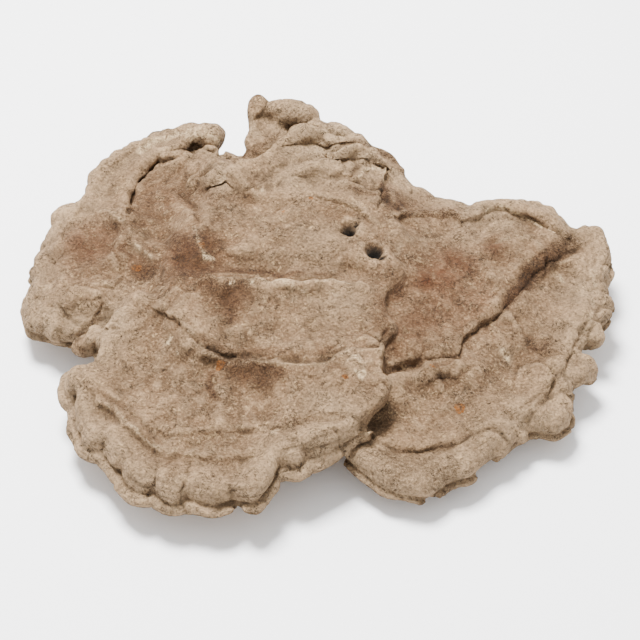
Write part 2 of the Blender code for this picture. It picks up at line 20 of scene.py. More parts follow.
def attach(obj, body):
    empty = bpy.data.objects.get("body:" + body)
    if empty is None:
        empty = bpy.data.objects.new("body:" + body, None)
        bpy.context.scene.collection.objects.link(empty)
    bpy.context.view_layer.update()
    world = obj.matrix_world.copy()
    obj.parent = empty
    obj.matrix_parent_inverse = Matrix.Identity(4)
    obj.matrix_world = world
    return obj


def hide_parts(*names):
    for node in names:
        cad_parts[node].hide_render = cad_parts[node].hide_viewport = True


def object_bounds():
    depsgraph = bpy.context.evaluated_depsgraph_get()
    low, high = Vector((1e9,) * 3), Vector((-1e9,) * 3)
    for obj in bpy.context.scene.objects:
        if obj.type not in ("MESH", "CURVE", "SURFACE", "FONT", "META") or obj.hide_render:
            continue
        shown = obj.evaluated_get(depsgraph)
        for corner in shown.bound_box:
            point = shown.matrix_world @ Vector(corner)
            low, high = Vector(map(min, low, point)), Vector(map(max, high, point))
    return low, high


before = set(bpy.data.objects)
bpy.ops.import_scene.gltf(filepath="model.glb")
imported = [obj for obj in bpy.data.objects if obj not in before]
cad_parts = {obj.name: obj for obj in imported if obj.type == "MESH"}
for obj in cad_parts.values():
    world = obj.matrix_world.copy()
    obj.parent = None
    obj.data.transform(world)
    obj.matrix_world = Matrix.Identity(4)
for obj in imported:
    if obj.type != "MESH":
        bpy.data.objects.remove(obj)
CAD_BOX = [list(corner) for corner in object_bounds()]

MM = 0.001

# Camera: it looks down on the front of the fungus, and the photo is this many pixels wide
PHOTO_PIXELS = 640
VIEW_ELEVATION = np.radians(45.0)
VIEW_DISTANCE = 1300.0
VIEW_AIM = np.array((0.0, 0.0, 50.0))
VIEW_SPAN = 486.0
SENSOR_WIDTH = 36.0

# The form is sampled on a grid this coarse before it is divided finer
GRID_STEP = 3.4
GRID_LOW = (-250.0, -190.0, -12.0)
GRID_HIGH = (250.0, 240.0, 128.0)

# Upper skin: a low dome that is highest near the growth centre
SKIRT_HEIGHT = 38.0
DOME_RISE = 32.0
DOME_CENTRE = (-30.0, 90.0)
DOME_REACH = (150.0, 110.0)

# Under side: it comes down from each rim to this height near the boss
UNDER_HEIGHT = 12.0
UNDER_REACH = 95.0
# No layer reaches below this height
BURIED_HEIGHT = 24.0

# Behind this place the front shelf sinks below the layers at the back, and grows softly out of them
HIDDEN_FROM = (-176.0, -48.0)
HIDDEN_RUN = (22.0, 30.0)
HIDDEN_SINK = 5.0
HIDDEN_BLEND = 26.0

# Boss: where it grew on the wood, cut off flat at z = 0
BOSS_CENTRE = (-10.0, 50.0)
BOSS_RADII = (130.0, 96.0)
BOSS_TAPER = 0.35
BOSS_TOP = 34.0
BOSS_BOTTOM = -8.0
BOSS_BLEND = 14.0

# Broad unevenness of the skin: how wide the swells are and how high
SWELLS = ((48.0, 3.0, 11), (24.0, 2.2, 12), (13.0, 1.3, 13))

# A shelf has an outline, the height of the middle of its rim (at the origin, and its slopes along X
# and Y), half its thickness at the rim, how far its skin lies above the dome, and how far in from the
# rim the skin reaches that height. Its lip is a thin edge below the rim's pillow: half its thickness,
# how far below the rim's middle it lies, and how far it stands out
Shelf = namedtuple("Shelf", "outline rim half lift reach lip_half lip_drop lip_out blend")
# A layer lies on the shelves: outline, height above the dome, slope of that height along X and Y,
# how deep it reaches, edge rounding, and how softly it grows out of what is below
Layer = namedtuple("Layer", "outline lift slope depth edge blend")
# A zone lies on one shelf, inside its rim ring: outline, step above the shelf, depth, edge and blend
Zone = namedtuple("Zone", "outline step depth edge blend")

LEFT_SHELF = Shelf(
    outline=(
        (-56, 178), (-70, 185), (-80, 188), (-85, 195), (-89, 206), (-98, 215), (-112, 219),
        (-121, 219), (-131, 220), (-145, 205), (-175, 193), (-192, 173), (-197, 152), (-202, 131),
        (-213, 116), (-223, 105), (-231, 88), (-236, 66), (-232, 56), (-235, 37), (-231, 12),
        (-221, 3), (-203, -3), (-190, -8), (-176, -8), (-160, -4), (-120, 0), (-60, 40), (-40, 120),
    ),
    rim=(44.2, 0.078, 0.105),
    half=14.0,
    lift=0.0,
    reach=36.0,
    lip_half=4.0,
    lip_drop=4.1,
    lip_out=1.5,
    blend=4.0,
)
FRONT_SHELF = Shelf(
    outline=(
        (-165, -12), (-175, -28), (-190, -38), (-195, -51), (-195, -66), (-187, -79), (-186, -92),
        (-181, -108), (-171, -119), (-157, -129), (-149, -145), (-136, -158), (-119, -165),
        (-102, -171), (-88, -171), (-75, -176), (-57, -175), (-41, -173), (-31, -158), (-25, -146),
        (-13, -144), (3, -135), (13, -130), (24, -123), (32, -114), (35, -107), (28, -98),
        (10, -80), (-20, -40), (-80, 0), (-130, 10),
    ),
    rim=(54.7, 0.074, 0.093),
    half=15.0,
    lift=0.0,
    reach=55.0,
    lip_half=5.0,
    lip_drop=4.0,
    lip_out=6.0,
    blend=2.0,
)
RIGHT_SHELF = Shelf(
    outline=(
        (-20, -60), (-8, -96), (8, -114), (24, -127), (45, -144), (64, -150), (80, -153),
        (95, -138), (110, -133), (125, -124), (132, -114), (141, -105), (151, -97), (162, -93),
        (176, -94), (187, -85), (192, -72), (193, -58), (207, -48), (219, -38), (211, -25),
        (205, -16), (214, -8), (222, 5), (229, 18), (232, 33), (229, 45), (232, 57), (239, 75),
        (236, 93), (229, 104), (214, 109), (205, 109), (199, 117), (187, 128), (171, 134),
        (150, 130), (136, 118), (123, 113), (108, 122), (96, 128), (90, 137), (76, 140), (30, 140),
        (-20, 90), (-40, 0),
    ),
    rim=(41.6, -0.042, 0.119),
    half=13.5,
    lift=-6.0,
    reach=55.0,
    lip_half=2.5,
    lip_drop=4.6,
    lip_out=2.0,
    blend=4.0,
)

FRONT_ZONE = Zone(
    outline=(
        (-172, -40), (-176, -57), (-170, -69), (-163, -80), (-152, -94), (-139, -107), (-124, -122),
        (-113, -132), (-96, -134), (-78, -136), (-60, -136), (-43, -132), (-36, -127), (-17, -128),
        (0, -125), (12, -121), (26, -113), (40, -104), (50, -92), (52, -80), (46, -66), (50, -54),
        (49, -42), (42, -34), (20, -20), (-20, 0), (-80, 20), (-140, 10), (-166, -14),
    ),
    step=4.0,
    depth=24.0,
    edge=7.5,
    blend=4.0,
)
RIGHT_ZONE = Zone(
    outline=(
        (30, -100), (47, -113), (56, -119), (73, -120), (87, -116), (103, -112), (118, -104),
        (127, -99), (140, -97), (150, -91), (157, -82), (165, -70), (178, -56), (187, -38),
        (191, -22), (199, -13), (205, 2), (213, 20), (216, 48), (219, 72), (216, 90), (204, 95),
        (192, 104), (176, 112), (100, 100), (40, 60), (20, -60),
    ),
    step=2.5,
    depth=20.0,
    edge=5.0,
    blend=4.0,
)

MIDDLE_LAYER = Layer(
    outline=(
        (-97, -34), (-89, -40), (-78, -48), (-66, -52), (-50, -52), (-32, -53), (-16, -53),
        (0, -52), (12, -47), (26, -43), (40, -40), (50, -34), (55, -24), (54, -12), (48, 2),
        (40, 14), (26, 21), (11, 23), (-8, 22), (-23, 21), (-37, 20), (-46, 24), (-57, 27),
        (-72, 26), (-90, 16), (-104, 0), (-106, -20),
    ),
    lift=11.0,
    slope=(0.02, 0.0),
    depth=60.0,
    edge=8.0,
    blend=2.0,
)
INNER_LAYER = Layer(
    outline=(
        (-97, -24), (-60, -40), (0, -40), (44, -30), (52, 6), (57, 30), (62, 70), (60, 110),
        (50, 130), (0, 150), (-50, 146), (-76, 124), (-104, 90), (-112, 50), (-110, 15),
        (-104, -10),
    ),
    lift=7.5,
    slope=(0.03, 0.02),
    depth=60.0,
    edge=6.5,
    blend=3.0,
)
# Behind this line the inner layer grows softly out of what is below
SOFT_FROM = 0.0
SOFT_LEFT = -64.0
SOFT_RUN = 40.0
SOFT_BLEND = 24.0
RIGHT_LAYER = Layer(
    outline=(
        (30, -30), (50, -50), (67, -43), (85, -39), (94, -35), (104, -36), (108, -24), (118, -12),
        (131, 0), (141, 14), (151, 25), (165, 44), (180, 58), (197, 76), (209, 90), (203, 106),
        (190, 122), (171, 131), (148, 129), (136, 120), (121, 118), (107, 122), (94, 128),
        (78, 136), (60, 138), (20, 80),
    ),
    lift=1.0,
    slope=(0.045, 0.0),
    depth=22.0,
    edge=4.0,
    blend=1.5,
)
# The right layer's broken face slants: where along X the slant starts, over what run, and how far it
# leans
SLANT_FROM = 132.0
SLANT_RUN = 24.0
SLANT_LEAN = 1.1
SLANT_FOOT = 9.0
# Left of its broken face it grows softly out of the shelf
SOFT_FRONT = 10.0
SOFT_FRONT_FROM = 112.0
ROLLED_RIM = Layer(
    outline=(
        (-87, 189), (-97, 193), (-107, 196), (-117, 183), (-135, 177), (-144, 165), (-152, 153),
        (-155, 134), (-156, 117), (-150, 100), (-176, 84), (-200, 96), (-214, 118), (-206, 133),
        (-195, 150), (-187, 168), (-169, 188), (-148, 208), (-131, 219), (-121, 213), (-111, 214),
        (-98, 212), (-90, 204),
    ),
    lift=14.0,
    slope=(0.12, 0.04),
    depth=24.0,
    edge=9.0,
    blend=2.0,
)

# Mound at the back: its skin is a sloping plane with ridges on it, and its back is a steep torn face
MOUND_OUTLINE = (
    (-62, 140), (-60, 156), (-62, 174), (-58, 187), (-56, 199), (-48, 204), (-40, 199), (-30, 202),
    (-18, 201), (-6, 193), (2, 188), (11, 186), (21, 181), (33, 174), (45, 169), (56, 164),
    (65, 157), (66, 146), (60, 122), (40, 106), (0, 98), (-40, 96), (-62, 112), (-70, 126),
)
MOUND_HEIGHT = 83.0
MOUND_ORIGIN = (-20.0, 100.0)
MOUND_SLOPE = (-0.13, 0.13)
MOUND_EDGE = 9.0
MOUND_BLEND = 6.0
# Its torn back is layered: how far the layers stand out, how wide they are, and how much wider than
# high
TORN_DEPTH = 6.0
TORN_SIZE = 17.0
TORN_STRETCH = 2.2

# Ridges, as rounded bars: line, radius and how softly they grow out of what is below
RIDGES = (
    ((
        (-64, 144, 72), (-50, 156, 82), (-31, 169, 89), (-7, 177, 91), (12, 171, 88), (27, 166, 82),
    ), 12.0, 2.5),
    (((-50, 183, 86), (-51, 199, 102)), 9.5, 4.0),
    (((-33, 195, 98), (-14, 189, 95)), 13.0, 4.0),
    (((12, 184, 82), (32, 166, 80)), 11.0, 4.0),
    (((16, 153, 83), (34, 158, 81), (50, 150, 75)), 9.5, 2.0),
    (((-18, 132, 79), (2, 139, 82), (20, 136, 80)), 9.5, 2.0),
    (((34, 141, 78), (51, 136, 73)), 8.0, 1.0),
    (((28, 126, 75), (40, 124, 73)), 5.0, 0.8),
    (((10, 110, 70), (27, 110, 69), (43, 111, 64)), 11.5, 2.5),
    (((30, 171, 78), (45, 165, 77), (58, 159, 75)), 6.0, 2.0),
    (((60, 148, 66), (70, 138, 50)), 9.0, 8.0),
    (((128, 115, 50), (150, 118, 53), (170, 115, 52), (189, 103, 47)), 13.0, 2.5),
    (((70, 116, 54), (96, 104, 55), (118, 96, 55)), 9.0, 7.0),
    (((-160, 60, 52), (-150, 90, 56), (-152, 110, 56)), 9.0, 9.0),
    (((-196, 60, 42), (-204, 90, 44), (-196, 120, 46)), 10.0, 9.0),
    (((-94, 140, 64), (-104, 166, 62), (-122, 176, 60)), 9.0, 7.0),
    ((
        (56, -64, 33), (72, -57, 33), (90, -53, 33), (108, -50, 33), (121, -36, 33), (133, -22, 33),
        (145, -8, 33), (157, 5, 32),
    ), 16.0, 9.0),
)

# Lumps that stand out: middle, then radii
LUMPS = (
    ((-73, 139, 66), (25, 21, 18)),
    ((48, -18, 58), (11, 11, 10)),
    ((43, -47, 48), (11, 12, 10)),
    ((30, -58, 56), (16, 11, 9)),
    ((-181, -14, 35), (11, 9, 11)),
    ((-169, -12, 40), (13, 12, 12)),
    ((-213, 28, 32), (15, 14, 12)),
    ((-200, 6, 32), (14, 11, 12)),
    ((84, 129, 46), (15, 12, 12)),
    ((70, 131, 47), (9, 8, 9)),
    ((102, 119, 46), (13, 11, 12)),
    ((121, 111, 47), (8, 8, 8)),
    ((202, -35, 28), (11, 11, 12)),
    ((168, -77, 26), (16, 13, 12)),
    ((149, -95, 24), (6, 6, 7)),
    ((128, -102, 23), (11, 10, 11)),
    ((226, 90, 38), (9, 11, 9)),
    ((212, -3, 33), (9, 8, 10)),
    ((218, 30, 36), (9, 10, 9)),
    ((222, 56, 38), (8, 9, 8)),
    ((-94, 205, 62), (14, 12, 14)),
    ((-131, 208, 54), (12, 10, 11)),
)
LUMP_BLEND = 3.5
# Solid middle below the shelves and the mound
CORE_MIDDLE = (5.0, 85.0, 40.0)
CORE_RADII = (90.0, 75.0, 26.0)

# Creases in the upper skin that part its forms: line, width and depth
CREASES = (
    ((
        (-84, 187), (-97, 192), (-107, 195), (-116, 181), (-135, 176), (-143, 164), (-151, 152),
        (-154, 133), (-155, 117),
    ), 2.4, 7.0),
    (((-168, 20), (-168, 10), (-174, 2), (-180, -3), (-189, -10), (-194, -14)), 3.0, 6.0),
    (((-112, 126), (-104, 112), (-96, 95)), 4.0, 3.0),
    (((-50, 150), (-36, 166), (-14, 178)), 5.0, 4.0),
    (((-30, 138), (-12, 146), (8, 147), (20, 140)), 4.0, 3.0),
    (((-86, 36), (-57, 37), (-37, 30), (-10, 32), (12, 32), (28, 28)), 8.0, 5.0),
)

# Scallops of a rim: the middle of its shelf, how deep they are and how far in they reach, and where
# they meet, as directions in degrees seen from that middle
Scallops = namedtuple("Scallops", "centre depth band meets")
FRONT_SCALLOPS = Scallops(
    centre=(-70.0, -40.0), depth=4.5, band=18.0,
    meets=(-196, -181, -164, -149, -138, -127, -112, -101, -85.5, -67, -57, -44),
)
LEFT_SCALLOPS = Scallops(
    centre=(-120.0, 80.0),
    depth=2.6,
    band=13.0,
    meets=(
        -160, -168, -176, -184, -190, -197, -203, -209, -215, -221, -227, -234, -241, -248, -256,
        -264,
    ),
)
RIGHT_SCALLOPS = Scallops(
    centre=(110.0, -10.0), depth=4.0, band=15.0,
    meets=(-44, -36, -28, -14, -6, 2, 9, 15, 21, 27, 33, 40, 47),
)


def smooth_step(value):
    value = np.clip(value, 0.0, 1.0)
    return value * value * (3.0 - 2.0 * value)


def join(a, b, blend):
    """The union of two forms, with a fillet about as wide as blend where they meet."""
    share = np.clip(0.5 + 0.5 * (b - a) / blend, 0.0, 1.0)
    return b * (1.0 - share) + a * share - blend * share * (1.0 - share)


def smooth_outline(points, pieces=5):
    """A closed curve through the points, as a fine polygon."""
    points = np.array(points, float)
    before, after, beyond = (np.roll(points, shift, axis=0) for shift in (1, -1, -2))
    curve = []
    for t in np.arange(pieces) / pieces:
        curve.append(
            0.5 * (2 * points + (after - before) * t
                   + (2 * before - 5 * points + 4 * after - beyond) * t**2
                   + (3 * points - before - 3 * after + beyond) * t**3)
        )
    return np.stack(curve, axis=1).reshape(-1, 2)


def line_distance(x, y, points):
    """How far each place is from an open line of points."""
    nearest = np.full(x.shape, 1e18)
    for (ax, ay), (bx, by) in zip(points[:-1], points[1:]):
        along = ((x - ax) * (bx - ax) + (y - ay) * (by - ay)) / ((bx - ax) ** 2 + (by - ay) ** 2)
        along = np.clip(along, 0.0, 1.0)
        gap = (x - ax - along * (bx - ax)) ** 2 + (y - ay - along * (by - ay)) ** 2
        nearest = np.minimum(nearest, gap)
    return np.sqrt(nearest)


def outline_distance(x, y, points):
    """Signed distance to a closed smooth outline, negative inside it."""
    curve = smooth_outline(points)
    ring = np.vstack([curve, curve[:1]])
    inside = np.zeros(x.shape, bool)
    for (ax, ay), (bx, by) in zip(ring[:-1], ring[1:]):
        if ay != by:
            crosses = ((ay > y) != (by > y)) & (x < (bx - ax) * (y - ay) / (by - ay) + ax)
            inside ^= crosses
    distance = line_distance(x, y, ring)
    return np.where(inside, -distance, distance)


# Swells repeat after this many. They are turned, so that they don't line up with X and Y, and are
# counted from far outside the fungus
WAVE_COUNT = 24
WAVE_TURN = (0.8, 0.6)
WAVE_START = 50.0


def wave(x, y, z, size, seed):
    """Smooth random swells about size wide, between -1 and 1."""
    table = np.random.default_rng(seed).uniform(-1.0, 1.0, (WAVE_COUNT,) * 3)
    across = WAVE_TURN[0] * x + WAVE_TURN[1] * y
    along = WAVE_TURN[0] * y - WAVE_TURN[1] * x
    cells, parts = [], []
    for axis in (across, along, z + 0.0 * x):
        place = axis / size + WAVE_START
        cells.append(np.floor(place).astype(int))
        parts.append(smooth_step(place - np.floor(place)))
    total = 0.0
    for corner in np.ndindex(2, 2, 2):
        weight = 1.0
        for part, side in zip(parts, corner):
            weight = weight * (part if side else 1.0 - part)
        index = tuple((cell + side) % WAVE_COUNT for cell, side in zip(cells, corner))
        total = total + weight * table[index]
    return total


def dome(x, y):
    across = (x - DOME_CENTRE[0]) / DOME_REACH[0]
    along = (y - DOME_CENTRE[1]) / DOME_REACH[1]
    return SKIRT_HEIGHT + DOME_RISE * np.exp(-0.5 * (across**2 + along**2))


def scallop_notch(x, y, scallops):
    """How far a rim is pulled in: 0 at the middle of each scallop, depth where two scallops meet."""
    angle = np.degrees(np.arctan2(y - scallops.centre[1], x - scallops.centre[0]))
    ends = np.sort(np.array(scallops.meets, float))
    angle = np.where(angle > ends[-1], angle - 360.0, angle)
    index = np.clip(np.searchsorted(ends, angle) - 1, 0, len(ends) - 2)
    share = (angle - ends[index]) / (ends[index + 1] - ends[index])
    round_top = np.sqrt(np.clip(np.sin(np.pi * np.clip(share, 0.0, 1.0)), 0.0, 1.0))
    in_range = (share > 0.0) & (share < 1.0)
    return scallops.depth * np.where(in_range, 1.0 - round_top, 0.0)


def slab(z, distance, top, bottom, edge):
    """A flat body between two heights with a rounded edge along its outline."""
    edge = np.minimum(edge, 0.48 * np.maximum(top - bottom, 1.0))
    out = distance + edge
    over = np.maximum(z - top, bottom - z) + edge
    inside = np.minimum(np.maximum(out, over), 0.0)
    return inside + np.hypot(np.maximum(out, 0.0), np.maximum(over, 0.0)) - edge


def rim_height(shelf, x, y):
    return shelf.rim[0] + shelf.rim[1] * x + shelf.rim[2] * y


def hidden_share(x, y):
    """1 where the front shelf lies below the layers at the back, 0 where its rim is seen."""
    across = smooth_step((x - HIDDEN_FROM[0]) / HIDDEN_RUN[0])
    along = smooth_step((y - HIDDEN_FROM[1]) / HIDDEN_RUN[1])
    return across * along


# Where scallops meet, the pillow steps back, and by these shares of that the skin dips and the lip
# steps back
NOTCH_DIP = 0.8
NOTCH_LIP = 0.6
LIP_BLEND = 1.5


def shelf_form(x, y, z, shelf, scallops):
    """A pillow along the rim with a thin lip below. Returns the shelf's field and its skin's height."""
    distance = outline_distance(x, y, shelf.outline)
    rim = rim_height(shelf, x, y)
    skin_share = smooth_step(-distance / shelf.reach)
    under_share = smooth_step(-distance / UNDER_REACH)
    half_band = 0.5 * scallops.band
    notch = scallop_notch(x, y, scallops)
    notch = notch * (1.0 - smooth_step((-distance - half_band) / half_band))
    top = (rim + shelf.half) * (1.0 - skin_share) + (dome(x, y) + shelf.lift) * skin_share
    top = top - NOTCH_DIP * notch
    lip_low = rim - shelf.lip_drop - shelf.lip_half
    bottom = lip_low * (1.0 - under_share) + UNDER_HEIGHT * under_share
    pillow = slab(z, distance + shelf.lip_out + notch, top, bottom, shelf.half)
    lip = slab(z, distance + NOTCH_LIP * notch, lip_low + 2.0 * shelf.lip_half, bottom, shelf.lip_half)
    return join(pillow, lip, LIP_BLEND), top


def layer_top(x, y, layer):
    start = layer.outline[0]
    lift = layer.lift + layer.slope[0] * (x - start[0]) + layer.slope[1] * (y - start[1])
    return dome(x, y) + np.maximum(lift, 0.0)


def layer_form(x, y, z, layer):
    """One layer that lies on the shelves and reaches down into them."""
    top = layer_top(x, y, layer)
    bottom = np.maximum(top - layer.depth, BURIED_HEIGHT)
    return slab(z, outline_distance(x, y, layer.outline), top, bottom, layer.edge)


def slanted_layer_form(x, y, z, layer):
    """A layer whose face leans back toward its right end. Its outline is the foot of that face."""
    top = layer_top(x, y, layer)
    bottom = np.maximum(top - layer.depth, BURIED_HEIGHT)
    lean = SLANT_LEAN * smooth_step((x - SLANT_FROM) / SLANT_RUN)
    distance = outline_distance(x, y, layer.outline) + lean * (z - top + SLANT_FOOT)
    return slab(z, distance, top, bottom, layer.edge)


def zone_form(x, y, z, zone, shelf_top):
    """The part of a shelf inside its rim ring, a step above the ring."""
    distance = outline_distance(x, y, zone.outline)
    top = shelf_top + zone.step
    return slab(z, distance, top, top - zone.depth, zone.edge)


def mound_form(x, y, z):
    top = MOUND_HEIGHT + MOUND_SLOPE[0] * (x - MOUND_ORIGIN[0]) + MOUND_SLOPE[1] * (y - MOUND_ORIGIN[1])
    below = smooth_step((top - z - MOUND_EDGE) / TORN_SIZE)
    torn = TORN_DEPTH * below * wave(x / TORN_STRETCH, y / TORN_STRETCH, z, TORN_SIZE, 15)
    distance = outline_distance(x, y, MOUND_OUTLINE) + torn
    return slab(z, distance, top, UNDER_HEIGHT, MOUND_EDGE)


def boss_form(x, y, z):
    """The stump of tissue that held the fungus to the wood, wider at the top."""
    across = (x - BOSS_CENTRE[0]) / BOSS_RADII[0]
    along = (y - BOSS_CENTRE[1]) / BOSS_RADII[1]
    distance = (np.hypot(across, along) - 1.0) * min(BOSS_RADII)
    return np.maximum(distance - BOSS_TAPER * z, np.maximum(z - BOSS_TOP, BOSS_BOTTOM - z))


def bar_distance(x, y, z, points):
    """How far each place is from an open line of points in space."""
    nearest = np.full(np.broadcast(x, y, z).shape, 1e18)
    for a, b in zip(np.array(points[:-1], float), np.array(points[1:], float)):
        run = b - a
        along = ((x - a[0]) * run[0] + (y - a[1]) * run[1] + (z - a[2]) * run[2]) / max(run @ run, 1e-9)
        along = np.clip(along, 0.0, 1.0)
        gap = ((x - a[0] - along * run[0]) ** 2 + (y - a[1] - along * run[1]) ** 2
               + (z - a[2] - along * run[2]) ** 2)
        nearest = np.minimum(nearest, gap)
    return np.sqrt(nearest)


def lump_form(x, y, z, middle, radii):
    parts = zip((x, y, z), middle, radii)
    spread = np.sqrt(sum(((axis - at) / radius) ** 2 for axis, at, radius in parts))
    return (spread - 1.0) * min(radii)


def add_locally(form, places, low, high, blend, shape):
    """Joins a small shape to the form, only at the places that it can change."""
    near = np.ones(form.shape, bool)
    for axis, least, most in zip(places, low, high):
        near &= (axis > least - 2.0 * blend) & (axis < most + 2.0 * blend)
    form[near] = join(form[near], shape(*(axis[near] for axis in places)), blend)


# Creases are cut only above this share of the dome's height, and set in over this many millimetres
CARVED_ABOVE = 0.5
CARVED_RUN = 12.0


def carve(x, y, z):
    """How deep the creases go into the upper skin."""
    depth = np.zeros(x.shape)
    for points, width, deep in CREASES:
        depth = np.maximum(depth, deep * np.exp(-((line_distance(x, y, points) / width) ** 2)))
    return depth * smooth_step((z - CARVED_ABOVE * dome(x, y)) / CARVED_RUN)


def shelves_form(x, y, z):
    """The three shelves with the zones inside their rings, the right layer and the rolled rim."""
    right, right_top = shelf_form(x, y, z, RIGHT_SHELF, RIGHT_SCALLOPS)
    left, _ = shelf_form(x, y, z, LEFT_SHELF, LEFT_SCALLOPS)
    hidden = hidden_share(x, y)
    sunk = z + HIDDEN_SINK * hidden
    front, front_top = shelf_form(x, y, sunk, FRONT_SHELF, FRONT_SCALLOPS)

    form = join(right, zone_form(x, y, z, RIGHT_ZONE, right_top), RIGHT_ZONE.blend)
    at_front = SOFT_FRONT * (1.0 - smooth_step((x - SOFT_FRONT_FROM) / SLANT_RUN))
    form = join(form, slanted_layer_form(x, y, z, RIGHT_LAYER), RIGHT_LAYER.blend + at_front)
    form = join(form, left, LEFT_SHELF.blend)
    form = join(form, layer_form(x, y, z, ROLLED_RIM), ROLLED_RIM.blend)
    form = join(form, front, FRONT_SHELF.blend + HIDDEN_BLEND * hidden)
    zone = zone_form(x, y, sunk, FRONT_ZONE, front_top)
    return join(form, zone, FRONT_ZONE.blend + HIDDEN_BLEND * hidden)


def with_upper_layers(form, x, y, z):
    """The form with the layers on top and the mound, which are soft at the back and on the left."""
    at_back = smooth_step((y - SOFT_FROM) / SOFT_RUN)
    at_left = smooth_step((SOFT_LEFT - x) / SOFT_RUN)
    softness = SOFT_BLEND * np.maximum(at_back, at_left)
    form = join(form, layer_form(x, y, z, INNER_LAYER), INNER_LAYER.blend + softness)
    form = join(form, layer_form(x, y, z, MIDDLE_LAYER), MIDDLE_LAYER.blend + SOFT_BLEND * at_left)
    form = join(form, mound_form(x, y, z), MOUND_BLEND)
    return np.minimum(form, lump_form(x, y, z, CORE_MIDDLE, CORE_RADII))


def add_ridges_and_lumps(form, places):
    for points, radius, blend in RIDGES:
        low, high = np.min(points, axis=0) - radius, np.max(points, axis=0) + radius
        add_locally(form, places, low, high, blend, lambda *at: bar_distance(*at, points) - radius)
    for middle, radii in LUMPS:
        low, high = np.subtract(middle, radii), np.add(middle, radii)
        add_locally(form, places, low, high, LUMP_BLEND, lambda *at: lump_form(*at, middle, radii))


def fungus_form(x, y, z):
    """The whole fungus as a field that is negative inside it."""
    form = with_upper_layers(shelves_form(x, y, z), x, y, z)
    add_ridges_and_lumps(form, np.broadcast_arrays(x, y, z))
    form = join(form, boss_form(x, y, z), BOSS_BLEND)
    for size, height, seed in SWELLS:
        form = form + height * wave(x, y, z, size, seed)
    return form + carve(x, y, z)


# What a grid corner is set to that has to lie inside
JUST_INSIDE = -0.02
PINHOLE_ROUNDS = 12


def fill_cavities(values):
    """Fills every hollow that has no way out to the space around the form."""
    empty = values >= 0.0
    outside = np.zeros(values.shape, bool)
    outside[:, :, -1] = empty[:, :, -1]
    reached = 0
    while outside.sum() > reached:
        reached = outside.sum()
        for axis in range(3):
            for flip in (slice(None), slice(None, None, -1)):
                view = np.moveaxis(outside, axis, 0)[flip]
                free = np.moveaxis(empty, axis, 0)[flip]
                for here in range(1, len(view)):
                    view[here] |= view[here - 1] & free[here]
    return np.where(empty & ~outside, JUST_INSIDE, values)


def close_pinholes(values, step):
    """Fills grid corners that would leave the skin touching itself along an edge or at a point."""
    for _ in range(PINHOLE_ROUNDS):
        inside = values < 0.0
        fill = np.zeros(values.shape, bool)
        for one, two in ((0, 1), (0, 2), (1, 2)):
            corners = []
            for shift in ((0, 0), (1, 0), (0, 1), (1, 1)):
                cut = [slice(None)] * 3
                cut[one] = slice(shift[0], values.shape[one] - 1 + shift[0])
                cut[two] = slice(shift[1], values.shape[two] - 1 + shift[1])
                corners.append(tuple(cut))
            a, b, c, d = (inside[corner] for corner in corners)
            crossed = (a & d & ~b & ~c) | (b & c & ~a & ~d)
            for corner in corners:
                fill[corner] |= crossed
        fill &= ~inside
        if not fill.any():
            break
        values = np.where(fill, JUST_INSIDE * step, values)
    return values


# The four cells around a grid edge, in turn
AROUND_EDGE = ((0, 0), (1, 0), (1, 1), (0, 1))


def other_axes(axis):
    return [other for other in range(3) if other != axis]


def shifted_back(cells, axis, shift):
    """The grid cells, shifted back along the two axes other than the given one."""
    moved = cells.copy()
    for other, steps in zip(other_axes(axis), shift):
        moved[:, other] -= steps
    return moved


def crossed_edges(values, axis):
    """Where the skin crosses edges along an axis, how far along them, and which start inside."""
    first, second = [slice(None)] * 3, [slice(None)] * 3
    first[axis], second[axis] = slice(0, -1), slice(1, None)
    a, b = values[tuple(first)], values[tuple(second)]
    crossed = (a < 0.0) != (b < 0.0)
    share = a[crossed] / (a[crossed] - b[crossed])
    return np.argwhere(crossed), share, (a < 0.0)[crossed]


def skin_of(values, low, step):
    """Surface nets: a point in each cell that the skin passes, and a quad for each crossed edge."""
    cells = tuple(np.array(values.shape) - 1)
    total = np.zeros(cells + (3,))
    count = np.zeros(cells)
    crossings = [crossed_edges(values, axis) for axis in range(3)]
    for axis, (where, share, _) in enumerate(crossings):
        place = where.astype(float)
        place[:, axis] += share
        for shift in np.ndindex(2, 2):
            cell = shifted_back(where, axis, shift)
            valid = (cell >= 0).all(axis=1) & (cell < np.array(cells)).all(axis=1)
            index = tuple(cell[valid].T)
            np.add.at(total, index, place[valid])
            np.add.at(count, index, 1.0)
    used = count > 0
    number = np.full(cells, -1)
    number[used] = np.arange(used.sum())
    points = total[used] / count[used][:, None] * step + np.array(low)

    quads = []
    for axis, (where, _, starts_inside) in enumerate(crossings):
        ring = [number[tuple(shifted_back(where, axis, shift).T)] for shift in AROUND_EDGE]
        quad = np.stack(ring, axis=1)
        turn = starts_inside if axis != 1 else ~starts_inside
        quads.append(np.where(turn[:, None], quad, quad[:, ::-1]))
    return points, np.concatenate(quads)


def coarse_skin():
    axes = [np.arange(low, high + GRID_STEP, GRID_STEP) for low, high in zip(GRID_LOW, GRID_HIGH)]
    x, y, z = axes[0][:, None, None], axes[1][None, :, None], axes[2][None, None, :]
    x, y = x + 0.0 * y, y + 0.0 * x
    values = close_pinholes(fill_cavities(fungus_form(x, y, z)), GRID_STEP)
    return skin_of(values, [axis[0] for axis in axes], GRID_STEP)


def with_middles(quads, middles):
    """The faces of quads that stay whole. They take in the new points on their edges."""
    faces = []
    for ring, middle in zip(quads.tolist(), middles.tolist()):
        face = []
        for corner, between in zip(ring, middle):
            face.append(corner)
            if between >= 0:
                face.append(between)
        faces.append(face)
    return faces


